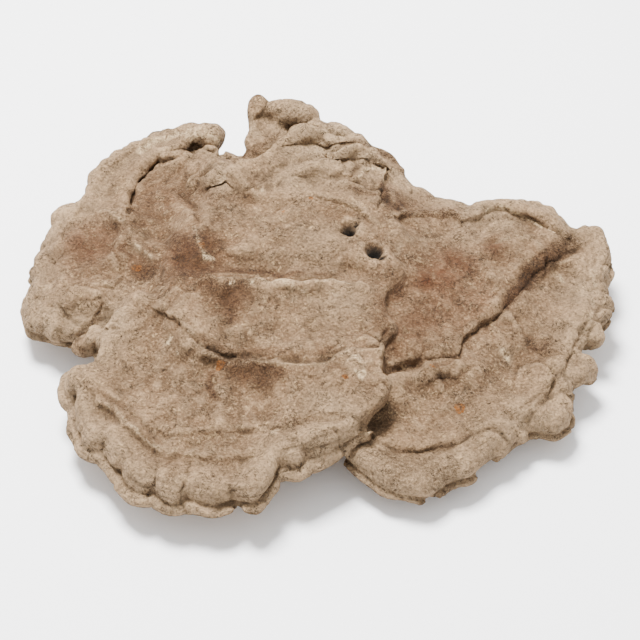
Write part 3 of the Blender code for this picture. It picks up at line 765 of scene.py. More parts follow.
def divided(points, quads, chosen):
    """Divides the chosen quads into four. Their neighbours take in the new points on shared edges."""
    edges = np.sort(np.stack([quads, np.roll(quads, -1, axis=1)], axis=2), axis=2)
    pairs, edge_of = np.unique(edges.reshape(-1, 2), axis=0, return_inverse=True)
    edge_of = edge_of.reshape(-1, 4)
    split = np.zeros(len(pairs), bool)
    split[edge_of[chosen].ravel()] = True
    middle_of = np.full(len(pairs), -1)
    middle_of[split] = len(points) + np.arange(split.sum())
    middles = points[pairs[split]].mean(axis=1)
    centre_of = len(points) + split.sum() + np.arange(chosen.sum())
    centres = points[quads[chosen]].mean(axis=1)

    ring, middle = quads[chosen], middle_of[edge_of[chosen]]
    faces = []
    for corner in range(4):
        small = np.stack([ring[:, corner], middle[:, corner], centre_of, middle[:, corner - 1]], axis=1)
        faces.extend(small.tolist())
    faces += with_middles(quads[~chosen], middle_of[edge_of[~chosen]])
    return np.vstack([points, middles, centres]), faces


def quad_normals(points, quads):
    a, b, c, d = (points[quads[:, corner]] for corner in range(4))
    normal = np.cross(c - a, d - b)
    return normal / np.maximum(np.linalg.norm(normal, axis=1), 1e-9)[:, None]


def point_normals(points, faces):
    mesh = bpy.data.meshes.new("normals")
    mesh.from_pydata(points.tolist(), [], faces)
    normals = np.empty(3 * len(points))
    mesh.vertices.foreach_get("normal", normals)
    bpy.data.meshes.remove(mesh)
    return normals.reshape(-1, 3)


# A point is tried this share of its field value further in or out, at most so far. What changes there
# gives the field's slope, unless the try was too short, and with it where the point settles
TRY_SHARE = 0.9
TRY_MOST = 2.0
TRY_LEAST = 0.05
SLOPE_RANGE = (0.5, 1.5)
SETTLE_MOST = 3.0


def settled(points, faces):
    """Moves each point along its normal onto the form."""
    normals = point_normals(points, faces)
    first = fungus_form(*points.T)
    move = -TRY_SHARE * np.clip(first, -TRY_MOST, TRY_MOST)
    second = fungus_form(*(points + move[:, None] * normals).T)
    moved = np.abs(move) > TRY_LEAST
    slope = np.where(moved, (second - first) / np.where(moved, move, 1.0), 1.0)
    slope = np.clip(slope, *SLOPE_RANGE)
    move = np.clip(move - second / slope, -SETTLE_MOST, SETTLE_MOST)
    return points + move[:, None] * normals


# Quads that face further down or back than this stay coarse
UNDER_FACING = -0.35
BACK_FACING = 0.75


def body_skin():
    """The points and faces of the body, divided finer where its upper side and rims are seen."""
    points, quads = coarse_skin()
    normals = quad_normals(points, quads)
    chosen = (normals[:, 2] > UNDER_FACING) & (normals[:, 1] < BACK_FACING)
    points, faces = divided(points, quads, chosen)
    return settled(points, faces), faces


def camera_frame():
    """The camera's place, and its directions forward, right and up."""
    forward = np.array((0.0, np.cos(VIEW_ELEVATION), -np.sin(VIEW_ELEVATION)))
    right = np.array((1.0, 0.0, 0.0))
    up = np.cross(right, forward)
    return VIEW_AIM - VIEW_DISTANCE * forward, forward, right, up


def skin_finder(points, faces):
    """A function that gives the place on the skin under a photo pixel."""
    tree = BVHTree.FromPolygons(points.tolist(), faces)
    eye, forward, right, up = camera_frame()
    per_pixel = VIEW_SPAN / VIEW_DISTANCE / PHOTO_PIXELS
    middle = 0.5 * PHOTO_PIXELS

    def place(pixel):
        ray = forward + (pixel[0] - middle) * per_pixel * right - (pixel[1] - middle) * per_pixel * up
        hit = tree.ray_cast(Vector(eye), Vector(ray))[0]
        return None if hit is None else np.array(hit)

    return place


# Relief that the photo shows, as photo pixels, with lengths in millimetres.
# A crease is a narrow furrow. A welt is a soft ridge, or a soft trough if its height is negative. At a
# step one side overlaps the other: it stands height above it and falls off over reach. That side is to
# the left as one goes along the line. A bump is a round swelling, or a hollow if its height is
# negative.
Crease = namedtuple("Crease", "pixels width depth")
Welt = namedtuple("Welt", "pixels width height")
Step = namedtuple("Step", "pixels height reach")
Bump = namedtuple("Bump", "pixel radius height")

# Where the rolled rim of the left shelf meets the skin in front of it
ROLLED_RIM_EDGE = (
    (219, 153), (204, 147), (192, 144), (180, 156), (157, 161), (147, 172), (136, 183), (131, 199),
    (128, 212),
)

SKIN_CREASES = (
    Crease(ROLLED_RIM_EDGE, 1.3, 2.5),
    Crease(((180, 194), (186, 200), (193, 207)), 1.8, 1.8),
    Crease(((191, 212), (199, 220)), 1.5, 1.2),
    Crease(((273, 101), (266, 109), (259, 116)), 1.0, 1.0),
    Crease(((288, 130), (300, 123), (312, 120)), 1.2, 1.0),
    Crease(((249, 184), (254, 179), (262, 173)), 1.0, 0.7),
    Crease(((247, 191), (257, 186), (268, 176), (277, 167), (284, 163)), 1.0, 0.8),
    Crease(((277, 184), (285, 178), (294, 174), (303, 176), (310, 180), (317, 184)), 1.1, 1.2),
    Crease(((338, 162), (346, 168), (352, 172)), 1.0, 0.9),
    Crease(((318, 180), (326, 176), (340, 177)), 1.0, 0.7),
    Crease(((350, 181), (359, 183), (366, 188), (374, 190), (384, 188)), 1.3, 2.6),
    Crease(((373, 180), (375, 184), (373, 189)), 1.0, 1.2),
    Crease(((382, 190), (382, 198), (379, 206)), 2.0, 3.0),
    Crease(((413, 184), (412, 193)), 1.1, 2.6),
    Crease((
        (200, 345), (214, 352), (228, 358), (248, 356), (262, 360), (274, 357), (295, 359),
        (310, 360), (322, 358), (333, 352), (345, 346),
    ), 1.5, 2.4),
    Crease(((245, 352), (251, 357), (256, 360)), 1.6, 1.5),
    Crease(((359, 349), (371, 347), (380, 345), (385, 336)), 1.5, 2.0),
    Crease(((386, 374), (384, 381), (389, 388)), 1.6, 2.2),
    Crease((
        (87, 389), (95, 396), (93, 403), (100, 410), (109, 414), (117, 423), (126, 429), (136, 438),
        (146, 447), (160, 457), (172, 459), (184, 456), (204, 459), (221, 458), (235, 461),
        (247, 460), (259, 455), (267, 451), (296, 450), (320, 446), (333, 442), (354, 433),
        (360, 430),
    ), 1.0, 0.5),
    Crease(((157, 462), (156, 474), (154, 485)), 2.0, 1.8),
    Crease(((154, 485), (148, 492)), 1.4, 1.4),
    Crease(((189, 464), (188, 476), (182, 490), (181, 500), (186, 512)), 1.8, 1.8),
    Crease(((229, 484), (232, 491), (232, 502)), 1.8, 2.0),
    Crease(((276, 471), (283, 480)), 2.2, 2.0),
    Crease(((130, 478), (140, 484), (154, 488)), 1.4, 1.0),
    Crease(((239, 393), (240, 403), (241, 412), (240, 421), (242, 429)), 1.1, 0.7),
    Crease(((242, 430), (258, 431), (275, 428), (290, 428), (303, 423)), 1.1, 0.6),
    Crease(((192, 412), (190, 420), (186, 430)), 1.2, 1.0),
    Crease(((118, 390), (128, 394), (139, 400)), 1.0, 0.9),
    Crease(((122, 358), (129, 368)), 1.0, 0.7),
    Crease(((212, 385), (219, 374), (223, 364)), 1.2, 1.0),
    Crease(((107, 302), (102, 306), (98, 312), (92, 320), (83, 327)), 1.8, 2.4),
    Crease(((84, 328), (84, 334), (76, 341), (66, 346)), 1.8, 2.4),
    Crease(((59, 305), (64, 314), (72, 321), (82, 327)), 1.5, 1.2),
    Crease(((52, 338), (62, 343), (72, 344)), 1.4, 1.2),
    Crease(((41, 244), (47, 254), (52, 264)), 2.0, 1.2),
    Crease(((160, 268), (159, 276), (163, 284)), 1.6, 1.2),
    Crease(((212, 222), (217, 230), (221, 240), (223, 250)), 1.0, 0.8),
    Crease((
        (584, 243), (575, 251), (563, 256), (552, 262), (540, 270), (532, 280), (524, 290),
        (516, 301), (504, 310),
    ), 1.4, 1.5),
    Crease((
        (504, 310), (502, 319), (493, 323), (480, 330), (472, 334), (466, 344), (461, 352),
        (461, 359),
    ), 1.1, 1.0),
    Crease((
        (461, 359), (452, 356), (444, 358), (434, 362), (422, 364), (410, 366), (398, 371),
        (387, 374),
    ), 1.1, 0.9),
    Crease(((385, 444), (395, 451), (408, 453), (422, 452), (442, 447), (463, 443)), 1.1, 0.7),
    Crease(((463, 443), (474, 436), (483, 431), (493, 429), (503, 434), (508, 441)), 1.4, 1.3),
    Crease(((585, 350), (590, 342), (591, 335), (596, 322), (602, 307)), 1.6, 1.2),
    Crease(((588, 352), (576, 353), (568, 360), (566, 374), (572, 388)), 1.6, 1.8),
    Crease(((576, 390), (566, 390), (553, 397), (544, 403), (534, 415), (530, 427)), 1.8, 1.8),
    Crease(((527, 375), (534, 365), (545, 363), (553, 368)), 1.0, 0.8),
    Crease(((508, 380), (518, 373), (527, 364)), 1.0, 0.8),
    Crease(((596, 300), (604, 306), (610, 303)), 1.2, 1.0),
    Crease(((598, 282), (606, 286)), 1.2, 1.0),
    Crease(((300, 314), (309, 319), (304, 325)), 0.9, 0.6),
    Crease(((312, 322), (320, 316), (326, 313)), 0.9, 0.6),
    Crease(((311, 334), (312, 343), (316, 347)), 0.9, 0.6),
    Crease(((336, 340), (346, 333), (352, 335)), 0.9, 0.6),
    Crease(((355, 362), (362, 368), (366, 380)), 1.0, 0.8),
    Crease(((346, 369), (356, 372), (360, 385)), 1.0, 0.7),
    Crease(((468, 310), (477, 304)), 1.0, 0.7),
    Crease(((477, 311), (484, 303)), 1.0, 0.6),
)

SKIN_STEPS = (
    Step((
        (352, 284), (334, 280), (312, 280), (290, 281), (271, 283), (257, 278), (240, 277),
        (216, 278),
    ), 3.6, 12.0),
    Step((
        (200, 345), (214, 352), (228, 358), (248, 356), (274, 357), (295, 359), (322, 358),
        (333, 352), (345, 346), (360, 348), (380, 345), (386, 334),
    ), -1.5, 8.0),
    Step(((200, 345), (194, 336), (184, 327), (172, 318), (160, 312)), -1.6, 12.0),
    Step((
        (87, 389), (95, 396), (93, 403), (109, 414), (126, 429), (146, 447), (160, 457), (184, 456),
        (204, 459), (235, 461), (259, 455), (267, 451), (296, 450), (320, 446), (354, 433),
    ), 0.6, 9.0),
    Step((
        (100, 393), (118, 403), (136, 415), (150, 430), (170, 436), (196, 434), (222, 434),
        (246, 431), (280, 428), (304, 422), (330, 414),
    ), 1.0, 9.0),
    Step(ROLLED_RIM_EDGE, -1.5, 14.0),
    Step(((128, 212), (122, 219), (108, 210), (95, 210), (88, 216)), 1.5, 9.0),
    Step(((250, 182), (243, 171), (229, 168), (213, 171), (200, 177), (196, 188)), 2.0, 12.0),
    Step(((152, 168), (168, 160), (186, 152), (203, 152), (215, 160), (222, 169)), -1.4, 10.0),
    Step(((186, 186), (191, 175), (204, 166), (216, 166)), -1.6, 8.0),
    Step((
        (244, 165), (258, 157), (272, 146), (287, 133), (300, 127), (314, 125), (330, 130),
        (346, 138),
    ), -3.6, 14.0),
    Step(((330, 153), (343, 147), (357, 145), (372, 149), (384, 157), (389, 168)), -3.2, 9.0),
    Step(((300, 166), (312, 161), (326, 159), (340, 161), (350, 170)), -2.2, 8.0),
    Step(((354, 176), (360, 166), (372, 162), (384, 166), (389, 176), (384, 186)), -2.6, 7.0),
    Step(((320, 186), (330, 180), (345, 178), (360, 184)), -1.4, 8.0),
    Step(((322, 198), (334, 202), (346, 205), (356, 210), (366, 217)), 2.0, 9.0),
    Step((
        (484, 214), (496, 209), (508, 210), (522, 215), (535, 217), (547, 226), (562, 234),
    ), 2.2, 9.0),
    Step((
        (488, 246), (500, 240), (515, 236), (530, 239), (542, 246), (549, 256), (546, 266),
    ), -1.4, 8.0),
    Step(((402, 216), (418, 216), (440, 218), (452, 214), (462, 222), (474, 218)), 2.0, 8.0),
    Step((
        (582, 250), (566, 257), (552, 264), (540, 274), (528, 290), (516, 304), (505, 316),
        (493, 323), (480, 330), (466, 344), (461, 359), (444, 358), (422, 364), (398, 371),
        (387, 376),
    ), 1.1, 11.0),
    Step((
        (385, 444), (395, 451), (422, 452), (442, 447), (463, 443), (483, 431), (493, 429),
        (508, 441),
    ), 0.8, 9.0),
    Step((
        (588, 262), (590, 280), (592, 300), (588, 322), (578, 342), (566, 366), (548, 388),
        (530, 402),
    ), -1.3, 10.0),
    Step(((433, 366), (440, 374), (444, 384)), -1.5, 7.0),
    Step(((437, 380), (447, 376), (458, 376), (466, 371)), 1.6, 7.0),
    Step(((516, 322), (524, 334), (532, 346), (545, 357), (556, 358)), -1.6, 10.0),
    Step(((516, 382), (520, 370), (532, 364), (546, 365), (556, 376), (552, 390)), -1.4, 8.0),
    Step((
        (146, 142), (134, 148), (120, 158), (106, 172), (92, 192), (76, 214), (62, 236), (52, 262),
    ), -1.0, 9.0),
    Step(((98, 286), (112, 286), (120, 278), (122, 266), (116, 256)), 1.4, 8.0),
    Step(((64, 296), (74, 288), (86, 286), (100, 292), (108, 300)), -1.4, 8.0),
    Step(((130, 296), (146, 292), (160, 284), (178, 286), (196, 292)), -1.0, 8.0),
    Step(((112, 404), (104, 398), (98, 402)), 1.0, 6.0),
)

SKIN_WELTS = (
    Welt(((90, 214), (100, 210), (112, 212), (124, 222), (133, 233)), 4.0, 1.4),
    Welt(((133, 243), (140, 250), (152, 257), (158, 258)), 3.0, 1.6),
    Welt(((91, 326), (90, 338), (92, 352)), 8.0, 3.0),
    Welt(((98, 402), (112, 410), (128, 424), (142, 436)), 4.0, 1.3),
    Welt(((78, 404), (84, 418), (94, 430), (108, 440), (122, 452)), 7.0, 1.4),
    Welt(((262, 432), (280, 436), (300, 436), (322, 432), (342, 424)), 5.0, 1.0),
    Welt(((336, 442), (346, 438), (356, 435), (363, 432)), 4.0, 2.4),
    Welt(((488, 437), (498, 436), (505, 442)), 5.0, 2.0),
    Welt(((462, 447), (474, 443), (484, 440)), 5.0, 1.6),
    Welt(((560, 262), (574, 262), (588, 270), (594, 290), (590, 316)), 6.0, 1.0),
    Welt(((500, 320), (514, 312), (530, 296)), 6.0, 1.4),
    Welt(((210, 380), (212, 395), (208, 412)), 4.0, -1.0),
    Welt(((222, 395), (219, 412), (226, 428)), 5.0, 1.2),
    Welt(((248, 396), (256, 412), (254, 428)), 6.0, 1.2),
    Welt(((282, 400), (290, 416)), 6.0, 1.2),
    Welt(((308, 396), (314, 412)), 6.0, 1.0),
    Welt(((271, 385), (272, 400), (268, 412)), 3.0, -0.9),
    Welt(((300, 382), (300, 396), (302, 410)), 3.0, -0.8),
    Welt(((322, 386), (326, 400), (328, 408)), 3.0, -0.8),
    Welt(((160, 172), (146, 190), (140, 210)), 7.0, -1.4),
    Welt(((176, 210), (170, 228), (166, 244)), 9.0, -1.2),
    Welt(((262, 150), (256, 136), (262, 122)), 7.0, -1.6),
    Welt(((322, 316), (356, 312), (372, 318)), 10.0, 1.2),
    Welt(((388, 300), (384, 320), (388, 340)), 7.0, -1.0),
    Welt(((390, 382), (404, 379), (420, 376), (440, 372), (456, 366)), 6.0, 3.4),
    Welt(((205, 176), (196, 190), (196, 206)), 5.0, -1.2),
    Welt(((120, 312), (150, 306), (182, 318)), 9.0, 1.0),
)

SKIN_BUMPS = (
    Bump((349, 228), 5.0, -13.0), Bump((357, 223), 2.2, -4.0), Bump((343, 231), 2.4, -4.0),
    Bump((375, 250), 4.8, -12.0), Bump((382, 257), 2.4, -4.0), Bump((370, 246), 2.4, -3.0),
    Bump((347, 220), 4.0, 1.6), Bump((365, 232), 8.0, 2.2), Bump((372, 240), 5.0, 1.8),
    Bump((336, 238), 7.0, 1.2), Bump((361, 260), 7.0, 1.4), Bump((211, 168), 5.0, -3.0),
    Bump((144, 234), 6.5, -2.8), Bump((143, 234), 3.2, 3.0), Bump((74, 397), 4.5, -3.4),
    Bump((389, 200), 5.0, -3.4), Bump((399, 206), 4.0, -3.0), Bump((376, 424), 5.0, -3.0),
    Bump((440, 378), 3.6, -2.6), Bump((457, 378), 5.0, -1.5), Bump((106, 319), 6.0, -2.5),
    Bump((163, 350), 3.0, -1.0), Bump((227, 181), 17.0, 8.0), Bump((85, 240), 10.0, 1.8),
    Bump((90, 197), 4.0, 1.0), Bump((96, 268), 12.0, 1.8), Bump((60, 280), 8.0, 1.6),
    Bump((45, 303), 9.0, 1.8), Bump((75, 304), 8.0, 1.6), Bump((75, 328), 7.0, 2.0),
    Bump((55, 325), 7.0, 1.4), Bump((45, 255), 7.0, 1.6), Bump((60, 218), 7.0, 1.0),
    Bump((120, 180), 12.0, 1.4), Bump((150, 145), 8.0, 1.2), Bump((180, 135), 9.0, 1.6),
    Bump((204, 133), 8.0, 2.0), Bump((118, 240), 9.0, 1.4), Bump((262, 184), 8.0, 1.8),
    Bump((292, 190), 9.0, 1.6), Bump((240, 216), 9.0, 1.4), Bump((268, 224), 10.0, 1.6),
    Bump((300, 212), 8.0, 1.2), Bump((218, 240), 8.0, 1.4), Bump((250, 248), 9.0, 1.2),
    Bump((310, 248), 10.0, 1.4), Bump((330, 266), 8.0, 1.4), Bump((282, 262), 9.0, -1.2),
    Bump((228, 262), 8.0, -1.4), Bump((348, 268), 6.0, -1.2), Bump((372, 330), 8.0, 2.4),
    Bump((372, 292), 8.0, 1.4), Bump((340, 300), 9.0, 1.0), Bump((290, 312), 10.0, -1.2),
    Bump((240, 330), 12.0, 1.2), Bump((200, 310), 10.0, 1.2), Bump((268, 342), 9.0, 1.0),
    Bump((318, 344), 8.0, 1.0), Bump((360, 366), 11.0, 2.2), Bump((376, 360), 7.0, 1.6),
    Bump((378, 396), 9.0, 1.6), Bump((345, 396), 8.0, 1.0), Bump((170, 350), 8.0, 1.6),
    Bump((150, 345), 8.0, 1.4), Bump((140, 370), 10.0, 1.2), Bump((176, 380), 9.0, 1.0),
    Bump((110, 376), 8.0, 1.4), Bump((90, 378), 6.0, 1.6), Bump((158, 408), 8.0, 1.2),
    Bump((184, 402), 7.0, 1.4), Bump((214, 366), 5.0, -1.4), Bump((240, 370), 8.0, -2.0),
    Bump((262, 374), 7.0, -1.6), Bump((222, 404), 6.0, 1.2), Bump((275, 432), 4.0, 1.2),
    Bump((171, 474), 10.0, 2.8), Bump((208, 476), 13.0, 3.0), Bump((256, 474), 14.0, 3.0),
    Bump((362, 432), 7.0, 3.0), Bump((311, 452), 12.0, 1.6), Bump((362, 434), 5.0, 2.6),
    Bump((141, 468), 10.0, 2.6), Bump((104, 456), 8.0, 1.0), Bump((92, 416), 7.0, 1.2),
    Bump((72, 380), 6.0, 1.6), Bump((442, 276), 16.0, 1.6), Bump((463, 262), 9.0, 1.6),
    Bump((497, 247), 8.0, 2.0), Bump((468, 226), 9.0, 2.0), Bump((410, 240), 9.0, 1.6),
    Bump((436, 238), 9.0, 1.4), Bump((398, 262), 9.0, 1.2), Bump((424, 300), 10.0, -1.4),
    Bump((400, 330), 10.0, 1.4), Bump((446, 330), 10.0, 1.0), Bump((470, 292), 10.0, -1.2),
    Bump((500, 280), 9.0, 1.2), Bump((420, 198), 9.0, 1.6), Bump((404, 190), 6.0, 1.0),
    Bump((534, 228), 10.0, -1.6), Bump((560, 244), 6.0, -1.6), Bump((432, 392), 12.0, -1.2),
    Bump((478, 372), 12.0, 1.6), Bump((500, 346), 10.0, 1.6), Bump((470, 414), 10.0, 1.4),
    Bump((410, 408), 10.0, -1.4), Bump((414, 432), 10.0, 1.4), Bump((500, 404), 8.0, 1.4),
    Bump((520, 412), 7.0, 1.6), Bump((504, 424), 5.0, 1.8), Bump((536, 380), 9.0, 2.0),
    Bump((546, 340), 9.0, 1.2), Bump((560, 316), 12.0, 1.4), Bump((568, 330), 8.0, 1.2),
    Bump((583, 372), 9.0, 1.6), Bump((551, 418), 10.0, 1.8), Bump((562, 400), 6.0, 1.6),
    Bump((523, 436), 4.0, 2.0), Bump((600, 320), 6.0, 1.4), Bump((604, 280), 6.0, 1.2),
    Bump((602, 250), 7.0, 1.4), Bump((462, 470), 10.0, 1.2), Bump((504, 452), 7.0, 1.6),
    Bump((380, 470), 12.0, 0.8), Bump((430, 480), 12.0, 0.8), Bump((346, 200), 10.0, 2.0),
    Bump((369, 204), 8.0, 2.0), Bump((375, 174), 6.0, 1.4), Bump((300, 110), 9.0, 1.6),
    Bump((330, 140), 8.0, 1.2), Bump((368, 156), 7.0, 1.6), Bump((290, 150), 9.0, 1.4),
    Bump((310, 142), 8.0, -1.2), Bump((200, 345), 2.0, 2.0), Bump((188, 325), 8.0, 1.0),
    Bump((128, 330), 9.0, 1.2), Bump((138, 305), 8.0, 1.0),
)

# All steps and creases are scaled by these
STEP_STRENGTH = 1.7
CREASE_STRENGTH = 0.9
# The drawn lines wander: over what length, by how much, and the seeds along X, Y and Z
WANDER = ((8.0, 1.3, (31, 32, 33)), (3.6, 0.6, (34, 35, 36)))
# A step rises over STEP_NOSE, and the skin dips below it by a share of its height over STEP_FOOT
STEP_NOSE = 1.6
STEP_FOOT = 2.2
STEP_DIP = 0.3
# A crease is uneven over this length. Its line of painted shade is this wide, and fully dark if it is
# this deep
CREASE_UNEVEN = 9.0
DARK_WIDTH = 1.1
DARK_DEPTH = 1.3
# A larval hole gets painted shade this far out, measured in its radius, and a hollow gets painted shade
# this dark
HOLE_REACH = 1.25
HOLLOW_SHADE = 0.6
# Hollows deeper than these get painted shade, the holes the darkest
DARK_HOLE = -3.5
DARK_HOLLOW = -2.2


def wandering(points):
    """The points, shifted a little this way and that, so that what is drawn at them looks grown."""
    shifted = points.copy()
    for size, most, seeds in WANDER:
        for axis, seed in enumerate(seeds):
            shifted[:, axis] += most * wave(*points.T, size, seed)
    return shifted


def on_skin(place, pixels, step=4.0):
    """The places on the skin along a line of photo pixels, and their pixels."""
    places, shown = [], []
    for start, end in zip(pixels[:-1], pixels[1:]):
        count = max(int(np.hypot(end[0] - start[0], end[1] - start[1]) / step), 1)
        shown.extend((start[0] + (end[0] - start[0]) * t, start[1] + (end[1] - start[1]) * t)
                     for t in np.arange(count) / count)
    shown.append(pixels[-1])
    for pixel in shown:
        places.append(place(pixel))
    kept = [index for index, spot in enumerate(places) if spot is not None]
    line = np.array([places[index] for index in kept])
    return line, np.array([shown[index] for index in kept], float)


def pixels_of(points):
    """The photo pixel that shows each point."""
    eye, forward, right, up = camera_frame()
    ray = points - eye
    scale = VIEW_DISTANCE * PHOTO_PIXELS / VIEW_SPAN / (ray @ forward)
    middle = 0.5 * PHOTO_PIXELS
    return np.stack([middle + scale * (ray @ right), middle - scale * (ray @ up)], axis=1)


# Two neighbouring places of a line that are further apart than this lie on different folds of the skin
LINE_BREAK = 18.0


def near_line(points, line, reach):
    """Points within reach of a line in space, how far each is from it, and its nearest piece."""
    low, high = line.min(axis=0) - reach, line.max(axis=0) + reach
    near = np.flatnonzero(((points > low) & (points < high)).all(axis=1))
    distance = np.full(len(near), 1e9)
    piece = np.zeros(len(near), int)
    x, y, z = points[near].T
    for index, (a, b) in enumerate(zip(line[:-1], line[1:])):
        if np.linalg.norm(b - a) < LINE_BREAK:
            gap = bar_distance(x, y, z, (a, b))
            piece = np.where(gap < distance, index, piece)
            distance = np.minimum(distance, gap)
    return near, distance, piece


def add_steps(height, drawn, place):
    """Lifts the skin on one side of each step. Like its neighbours below, it changes height in place."""
    drawn_pixels = pixels_of(drawn)
    for step in SKIN_STEPS:
        line, shown = on_skin(place, step.pixels)
        near, distance, piece = near_line(drawn, line, 2.0 * step.reach)
        run = shown[piece + 1] - shown[piece]
        away = drawn_pixels[near] - shown[piece]
        left = run[:, 0] * away[:, 1] - run[:, 1] * away[:, 0] < 0.0
        nose = 1.0 - np.exp(-distance / STEP_NOSE)
        raised = nose * np.exp(-((distance / step.reach) ** 2))
        foot = -STEP_DIP * np.exp(-((distance / STEP_FOOT) ** 2))
        over = left if step.height > 0.0 else ~left
        height[near] += STEP_STRENGTH * abs(step.height) * np.where(over, raised, foot)


def add_welts(height, drawn, place):
    for welt in SKIN_WELTS:
        line, _ = on_skin(place, welt.pixels)
        near, distance, _ = near_line(drawn, line, 2.5 * welt.width)
        height[near] += welt.height * np.exp(-((distance / welt.width) ** 2))


def add_bumps(height, drawn, place):
    """Adds the bumps. Returns the painted shade of the hollows at each point, and of the holes."""
    hollow, hole = np.zeros(len(drawn)), np.zeros(len(drawn))
    for bump in SKIN_BUMPS:
        middle = place(bump.pixel)
        if middle is None:
            print("no skin under the bump at", bump.pixel)
            continue
        away = np.linalg.norm(drawn - middle, axis=1) / bump.radius
        height += bump.height * np.exp(-(away ** 2))
        if bump.height < DARK_HOLE:
            hole = np.maximum(hole, np.exp(-((away / HOLE_REACH) ** 6)))
        elif bump.height < DARK_HOLLOW:
            hollow = np.maximum(hollow, HOLLOW_SHADE * np.exp(-(away ** 2)))
    return hollow, hole


def crease_depths(points, drawn, place):
    """How deep each point lies in a crease, and the painted shade there."""
    depth, shade = np.zeros(len(points)), np.zeros(len(points))
    for crease in SKIN_CREASES:
        line, _ = on_skin(place, crease.pixels)
        near, distance, _ = near_line(drawn, line, 3.0 * crease.width)
        uneven = CREASE_STRENGTH * (0.75 + 0.5 * wave(*points[near].T, CREASE_UNEVEN, 41))
        furrow = uneven * crease.depth * np.exp(-((distance / crease.width) ** 2))
        depth[near] = np.maximum(depth[near], furrow)
        dark = uneven * min(crease.depth / DARK_DEPTH, 1.0) * np.exp(-((distance / DARK_WIDTH) ** 2))
        shade[near] = np.maximum(shade[near], dark)
    return depth, shade


def add_relief(points, faces, place):
    """Gives the skin its relief. Returns the points, the shade in creases and hollows, and in holes."""
    drawn = wandering(points)
    height = np.zeros(len(points))
    add_steps(height, drawn, place)
    add_welts(height, drawn, place)
    hollow, hole = add_bumps(height, drawn, place)
    depth, shade = crease_depths(points, drawn, place)
    moved = points + (height - depth)[:, None] * point_normals(points, faces)
    return moved, np.maximum(shade, hollow), hole


# Grain of the upper skin: size of the swells in millimetres, their height and a seed.
# Billows are pillows with narrow valleys between them
GRAIN = ((26.0, 2.2, 20), (13.0, 1.0, 26), (8.0, 0.7, 21), (5.0, 0.4, 22), (3.4, 0.3, 23))
BILLOWS = ((17.0, 1.2, 24), (8.0, 0.5, 25))


# How far down the skin faces where the grain starts, over what run it sets in, and its share below
GRAIN_FACING = 0.3
GRAIN_RUN = 0.5
GRAIN_BELOW = 0.15


def grained(points, faces):
    normals = point_normals(points, faces)
    height = sum(most * wave(*points.T, size, seed) for size, most, seed in GRAIN)
    for size, most, seed in BILLOWS:
        height += most * (2.0 * np.sqrt(np.abs(wave(*points.T, size, seed))) - 1.0)
    upper = smooth_step((normals[:, 2] + GRAIN_FACING) / GRAIN_RUN)
    share = GRAIN_BELOW + (1.0 - GRAIN_BELOW) * upper
    return points + (height * share)[:, None] * normals


def summed(target, source, values):
    """The values at the source indices, summed up at the target indices."""
    return np.stack([np.bincount(target, part[source]) for part in values.T], axis=1)


def neighbours_mean(values, faces, rounds):
    """Each point's value, averaged over its faces' corners again and again."""
    sizes = np.array([len(face) for face in faces])
    corners = np.concatenate([np.array(face) for face in faces])
    owner = np.repeat(np.arange(len(faces)), sizes)
    weight = np.bincount(corners, minlength=len(values))
    for _ in range(rounds):
        means = summed(owner, corners, values) / sizes[:, None]
        values = summed(corners, owner, means) / weight[:, None]
    return values


# Rounds of averaging that show narrow hollows, and broad basins
HOLLOW_ROUNDS = 4
BASIN_ROUNDS = 30


def hollowness(points, faces, rounds):
    """How far each point lies below its surroundings, in millimetres, negative where it stands out."""
    away = neighbours_mean(points, faces, rounds) - points
    return (away * point_normals(points, faces)).sum(axis=1)


# Stains, flakes and worn patches that the photo shows: pixel of the middle, radius in millimetres and
# strength
Patch = namedtuple("Patch", "pixel radius strength")
RUST = (
    Patch((455, 262), 18.0, 1.0), Patch((430, 282), 18.0, 1.0), Patch((442, 278), 24.0, 1.0),
    Patch((463, 264), 16.0, 0.9), Patch((495, 247), 13.0, 1.0), Patch((470, 225), 12.0, 0.9),
    Patch((385, 305), 14.0, 0.6), Patch((434, 309), 16.0, 0.7), Patch((415, 290), 16.0, 0.5),
    Patch((392, 322), 12.0, 0.5), Patch((425, 192), 16.0, 0.5), Patch((404, 190), 14.0, 0.6),
    Patch((440, 208), 16.0, 0.6), Patch((420, 215), 12.0, 0.4), Patch((84, 244), 30.0, 0.9),
    Patch((90, 198), 7.0, 0.6), Patch((370, 150), 10.0, 0.3), Patch((480, 280), 14.0, 0.4),
    Patch((540, 222), 12.0, 0.3), Patch((188, 256), 26.0, 1.0), Patch((440, 300), 40.0, 0.6),
    Patch((408, 330), 26.0, 0.6), Patch((228, 304), 14.0, 0.5), Patch((136, 262), 10.0, 0.6),
    Patch((428, 202), 18.0, 1.0), Patch((452, 212), 16.0, 1.0), Patch((420, 320), 26.0, 0.7),
    Patch((400, 290), 22.0, 0.6), Patch((470, 300), 22.0, 0.6), Patch((98, 250), 22.0, 0.4),
    Patch((170, 200), 26.0, 0.35),
)
